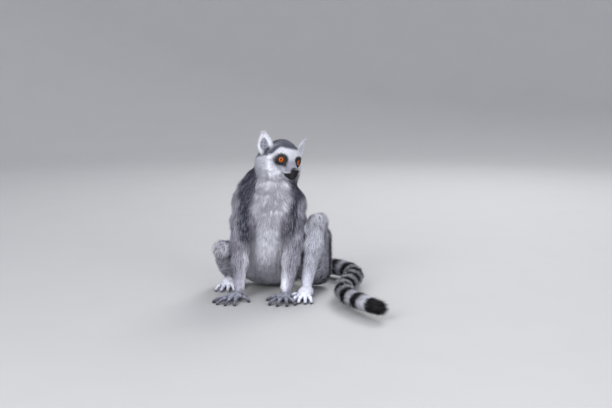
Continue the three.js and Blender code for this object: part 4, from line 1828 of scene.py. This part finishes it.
def nose_form(spots):
    """The bare end of the nose: a rounded pad with a parting and two comma nostrils."""
    local = in_head(spots)
    x, y, z = (local - NOSE_PLACE).T
    pad = blend(
        2.5,
        ball((0, 0.6, 0.4), (6.3, 5.2, 3.9)),
        *ball_pair((3.5, -0.1, -0.7), (3.4, 4.4, 3.5)),
        rod((0, -1.4, -2), (0, 1.0, -7), 2.2, 1.5),
    )(local - NOSE_PLACE)
    parting = np.hypot(x, np.minimum(y + 5.2, 0)) - 0.35
    value = soft_cut(pad, np.maximum(parting, z + 0.5), 0.6)
    aside = np.column_stack([np.abs(x), y, z])
    nostril = blend(0.6, rod((3.1, -6.5, -0.6), (3.4, -2.5, -0.2), 1.25, 0.9),
                    rod((3.6, -5.4, -1.2), (6.0, -3.0, -2.0), 0.8, 0.5))(aside)
    return soft_cut(value, nostril, 0.5)


def build_nose():
    low = from_head(NOSE_PLACE) - NOSE_REACH
    vertices, quads = surface_net(nose_form, low, low + 2 * NOSE_REACH, NOSE_STEP)
    mesh = mesh_of("nose_pad", settled(nose_form, vertices), quads)
    piece = add_object(mesh, nose_material())
    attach(piece, "root")
    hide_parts("nose")


def nail_mesh(name, bend, tip):
    """A curved nail on top of the end of a digit."""
    ahead = unit((tip - bend) * (1, 1, 0))
    across = np.cross(ahead, (0, 0, 1))
    root = tip - ahead * 3.2 + (0, 0, 3.3)

    def place(share, turn):
        width = NAIL_HALF_WIDTH * math.sin(math.pi * share) ** 0.45 * (1 - 0.35 * share)
        side = width * math.cos(turn)
        top = 0.32 * math.sin(turn) * math.sin(math.pi * share) ** 0.5
        drop = 0.16 * side * side + NAIL_DROP * share**2
        return root + ahead * (NAIL_LENGTH * share) + across * side + spot(0, 0, top - drop)

    return revolved(name, 8, 12, place)


def build_nails():
    material = nail_material()
    for side, _, word in SIDES:
        for limb, placing in (("hand", hand_place), ("foot", foot_place)):
            net = bmesh.new()
            for _, bend, tip in digit_bones(*placing(side)):
                nail = nail_mesh("nail", bend, tip)
                net.from_mesh(nail)
                bpy.data.meshes.remove(nail)
            mesh = bpy.data.meshes.new(f"nails_{limb}_{word}")
            net.to_mesh(mesh)
            net.free()
            mesh.shade_smooth()
            piece = add_object(mesh, material)
            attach(piece, "root")


# ---------------------------------------------------------------- stage

def floor_mesh(reach):
    """A level floor that rises softly into a round wall."""
    around = FLOOR_SECTORS
    bend = 1 - FLOOR_LEVEL
    profile = [(reach * FLOOR_LEVEL, 0.0)]
    for row in range(1, FLOOR_ROWS + 1):
        turn = math.pi / 2 * row / FLOOR_ROWS
        radius = FLOOR_LEVEL + bend * math.sin(turn)
        profile.append((reach * radius, reach * bend * (1 - math.cos(turn))))
    profile.append((reach, reach * WALL_HEIGHT))
    vertices = [(0, 0, 0)]
    for radius, height in profile:
        for column in range(around):
            turn = 2 * math.pi * column / around
            vertices.append((radius * math.cos(turn), radius * math.sin(turn), height))
    faces = [(0, 1 + column, 1 + (column + 1) % around) for column in range(around)]
    for row in range(len(profile) - 1):
        for column in range(around):
            low, after = 1 + row * around, (column + 1) % around
            faces.append((low + column, low + around + column, low + around + after, low + after))
    mesh = bpy.data.meshes.new("floor")
    mesh.from_pydata(vertices, [], faces)
    mesh.shade_smooth()
    return mesh


def hang_lights(scene):
    for name, place, aim, size, power in LIGHTS:
        lamp = bpy.data.lights.new(name, "AREA")
        lamp.shape = "DISK"
        lamp.size = size
        lamp.energy = power
        holder = bpy.data.objects.new(name, lamp)
        holder.location = place
        holder.rotation_euler = (Vector(aim) - Vector(place)).to_track_quat("-Z", "Y").to_euler()
        scene.collection.objects.link(holder)
    world = bpy.data.worlds.new("Soft light")
    world.use_nodes = True
    background = world.node_tree.nodes["Background"]
    background.inputs["Color"].default_value = ROOM_LIGHT
    background.inputs["Strength"].default_value = ROOM_STRENGTH
    scene.world = world
    scene.view_settings.view_transform = "Standard"


def set_camera(scene, distance, elevation):
    """A camera in front of the seat that looks down at it by its elevation."""
    up = Vector((0, math.sin(elevation), math.cos(elevation)))
    ahead = Vector((0, math.cos(elevation), -math.sin(elevation)))
    lens = bpy.data.cameras.new("Camera")
    lens.sensor_width = SENSOR
    lens.lens = LENS
    camera = bpy.data.objects.new("Camera", lens)
    camera.location = Vector((AIM_ASIDE, 0, 0)) + AIM_UP * up - distance * ahead
    camera.rotation_euler = ahead.to_track_quat("-Z", "Y").to_euler()
    scene.collection.objects.link(camera)
    scene.camera = camera


# ---------------------------------------------------------------- operators

class LEMUR_OT_skin(bpy.types.Operator):
    """Nets the skin round the body's forms and marks how the coat grows on it"""

    bl_idname = "lemur.skin"
    bl_label = "Skin"

    def execute(self, context):
        skin = build_skin()
        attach(skin, "root")
        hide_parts(*COATED)
        return {"FINISHED"}


class LEMUR_OT_coat(bpy.types.Operator):
    """Grows the coat of mesh tufts on the skin"""

    bl_idname = "lemur.coat"
    bl_label = "Coat"

    def execute(self, context):
        skin = context.scene.objects.get("skin")
        if skin is None:
            raise RuntimeError("the coat needs the skin first")
        for piece in build_coat(skin):
            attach(piece, "root")
        return {"FINISHED"}


class LEMUR_OT_eyes(bpy.types.Operator):
    """Sets both eyes between their lids"""

    bl_idname = "lemur.eyes"
    bl_label = "Eyes"

    def execute(self, context):
        material = eye_material()
        for _, sign, word in SIDES:
            build_eye(sign, word, material)
        return {"FINISHED"}


class LEMUR_OT_nose(bpy.types.Operator):
    """Makes the bare end of the nose with its nostrils"""

    bl_idname = "lemur.nose"
    bl_label = "Nose"

    def execute(self, context):
        build_nose()
        return {"FINISHED"}


class LEMUR_OT_nails(bpy.types.Operator):
    """Puts a nail on every finger and toe"""

    bl_idname = "lemur.nails"
    bl_label = "Nails"

    def execute(self, context):
        build_nails()
        return {"FINISHED"}


class LEMUR_OT_stage(bpy.types.Operator):
    """Lays a pale floor, hangs soft lights and sets up the camera"""

    bl_idname = "lemur.stage"
    bl_label = "Stage"

    def execute(self, context):
        stage = context.scene.lemur_stage
        add_object(floor_mesh(stage.floor / 2), floor_material())
        hang_lights(context.scene)
        set_camera(context.scene, stage.distance, stage.elevation)
        return {"FINISHED"}


class LEMUR_PT_panel(bpy.types.Panel):
    """Everything that makes the lemur, in order"""

    bl_label = "Lemur"
    bl_idname = "LEMUR_PT_panel"
    bl_space_type = "VIEW_3D"
    bl_region_type = "UI"
    bl_category = "Lemur"

    def draw(self, context):
        scene = context.scene
        for group in (scene.lemur_colours, scene.lemur_coat, scene.lemur_stage):
            box = self.layout.box()
            for name in group.__annotations__:
                box.prop(group, name)
        for operator in OPERATORS:
            self.layout.operator(operator.bl_idname)


GROUPS = (
    ("lemur_colours", LemurColours), ("lemur_coat", LemurCoat), ("lemur_stage", LemurStage),
)
OPERATORS = (
    LEMUR_OT_stage, LEMUR_OT_skin, LEMUR_OT_eyes, LEMUR_OT_nose, LEMUR_OT_nails, LEMUR_OT_coat,
)


def register():
    for name, group in GROUPS:
        bpy.utils.register_class(group)
        setattr(bpy.types.Scene, name, bpy.props.PointerProperty(type=group))
    for operator in OPERATORS:
        bpy.utils.register_class(operator)
    bpy.utils.register_class(LEMUR_PT_panel)


def unregister():
    bpy.utils.unregister_class(LEMUR_PT_panel)
    for operator in reversed(OPERATORS):
        bpy.utils.unregister_class(operator)
    for name, group in reversed(GROUPS):
        delattr(bpy.types.Scene, name)
        bpy.utils.unregister_class(group)


def main():
    register()
    bpy.ops.lemur.stage()
    bpy.ops.lemur.skin()
    bpy.ops.lemur.eyes()
    bpy.ops.lemur.nose()
    bpy.ops.lemur.nails()
    bpy.ops.lemur.coat()


if __name__ == "__main__":
    main()
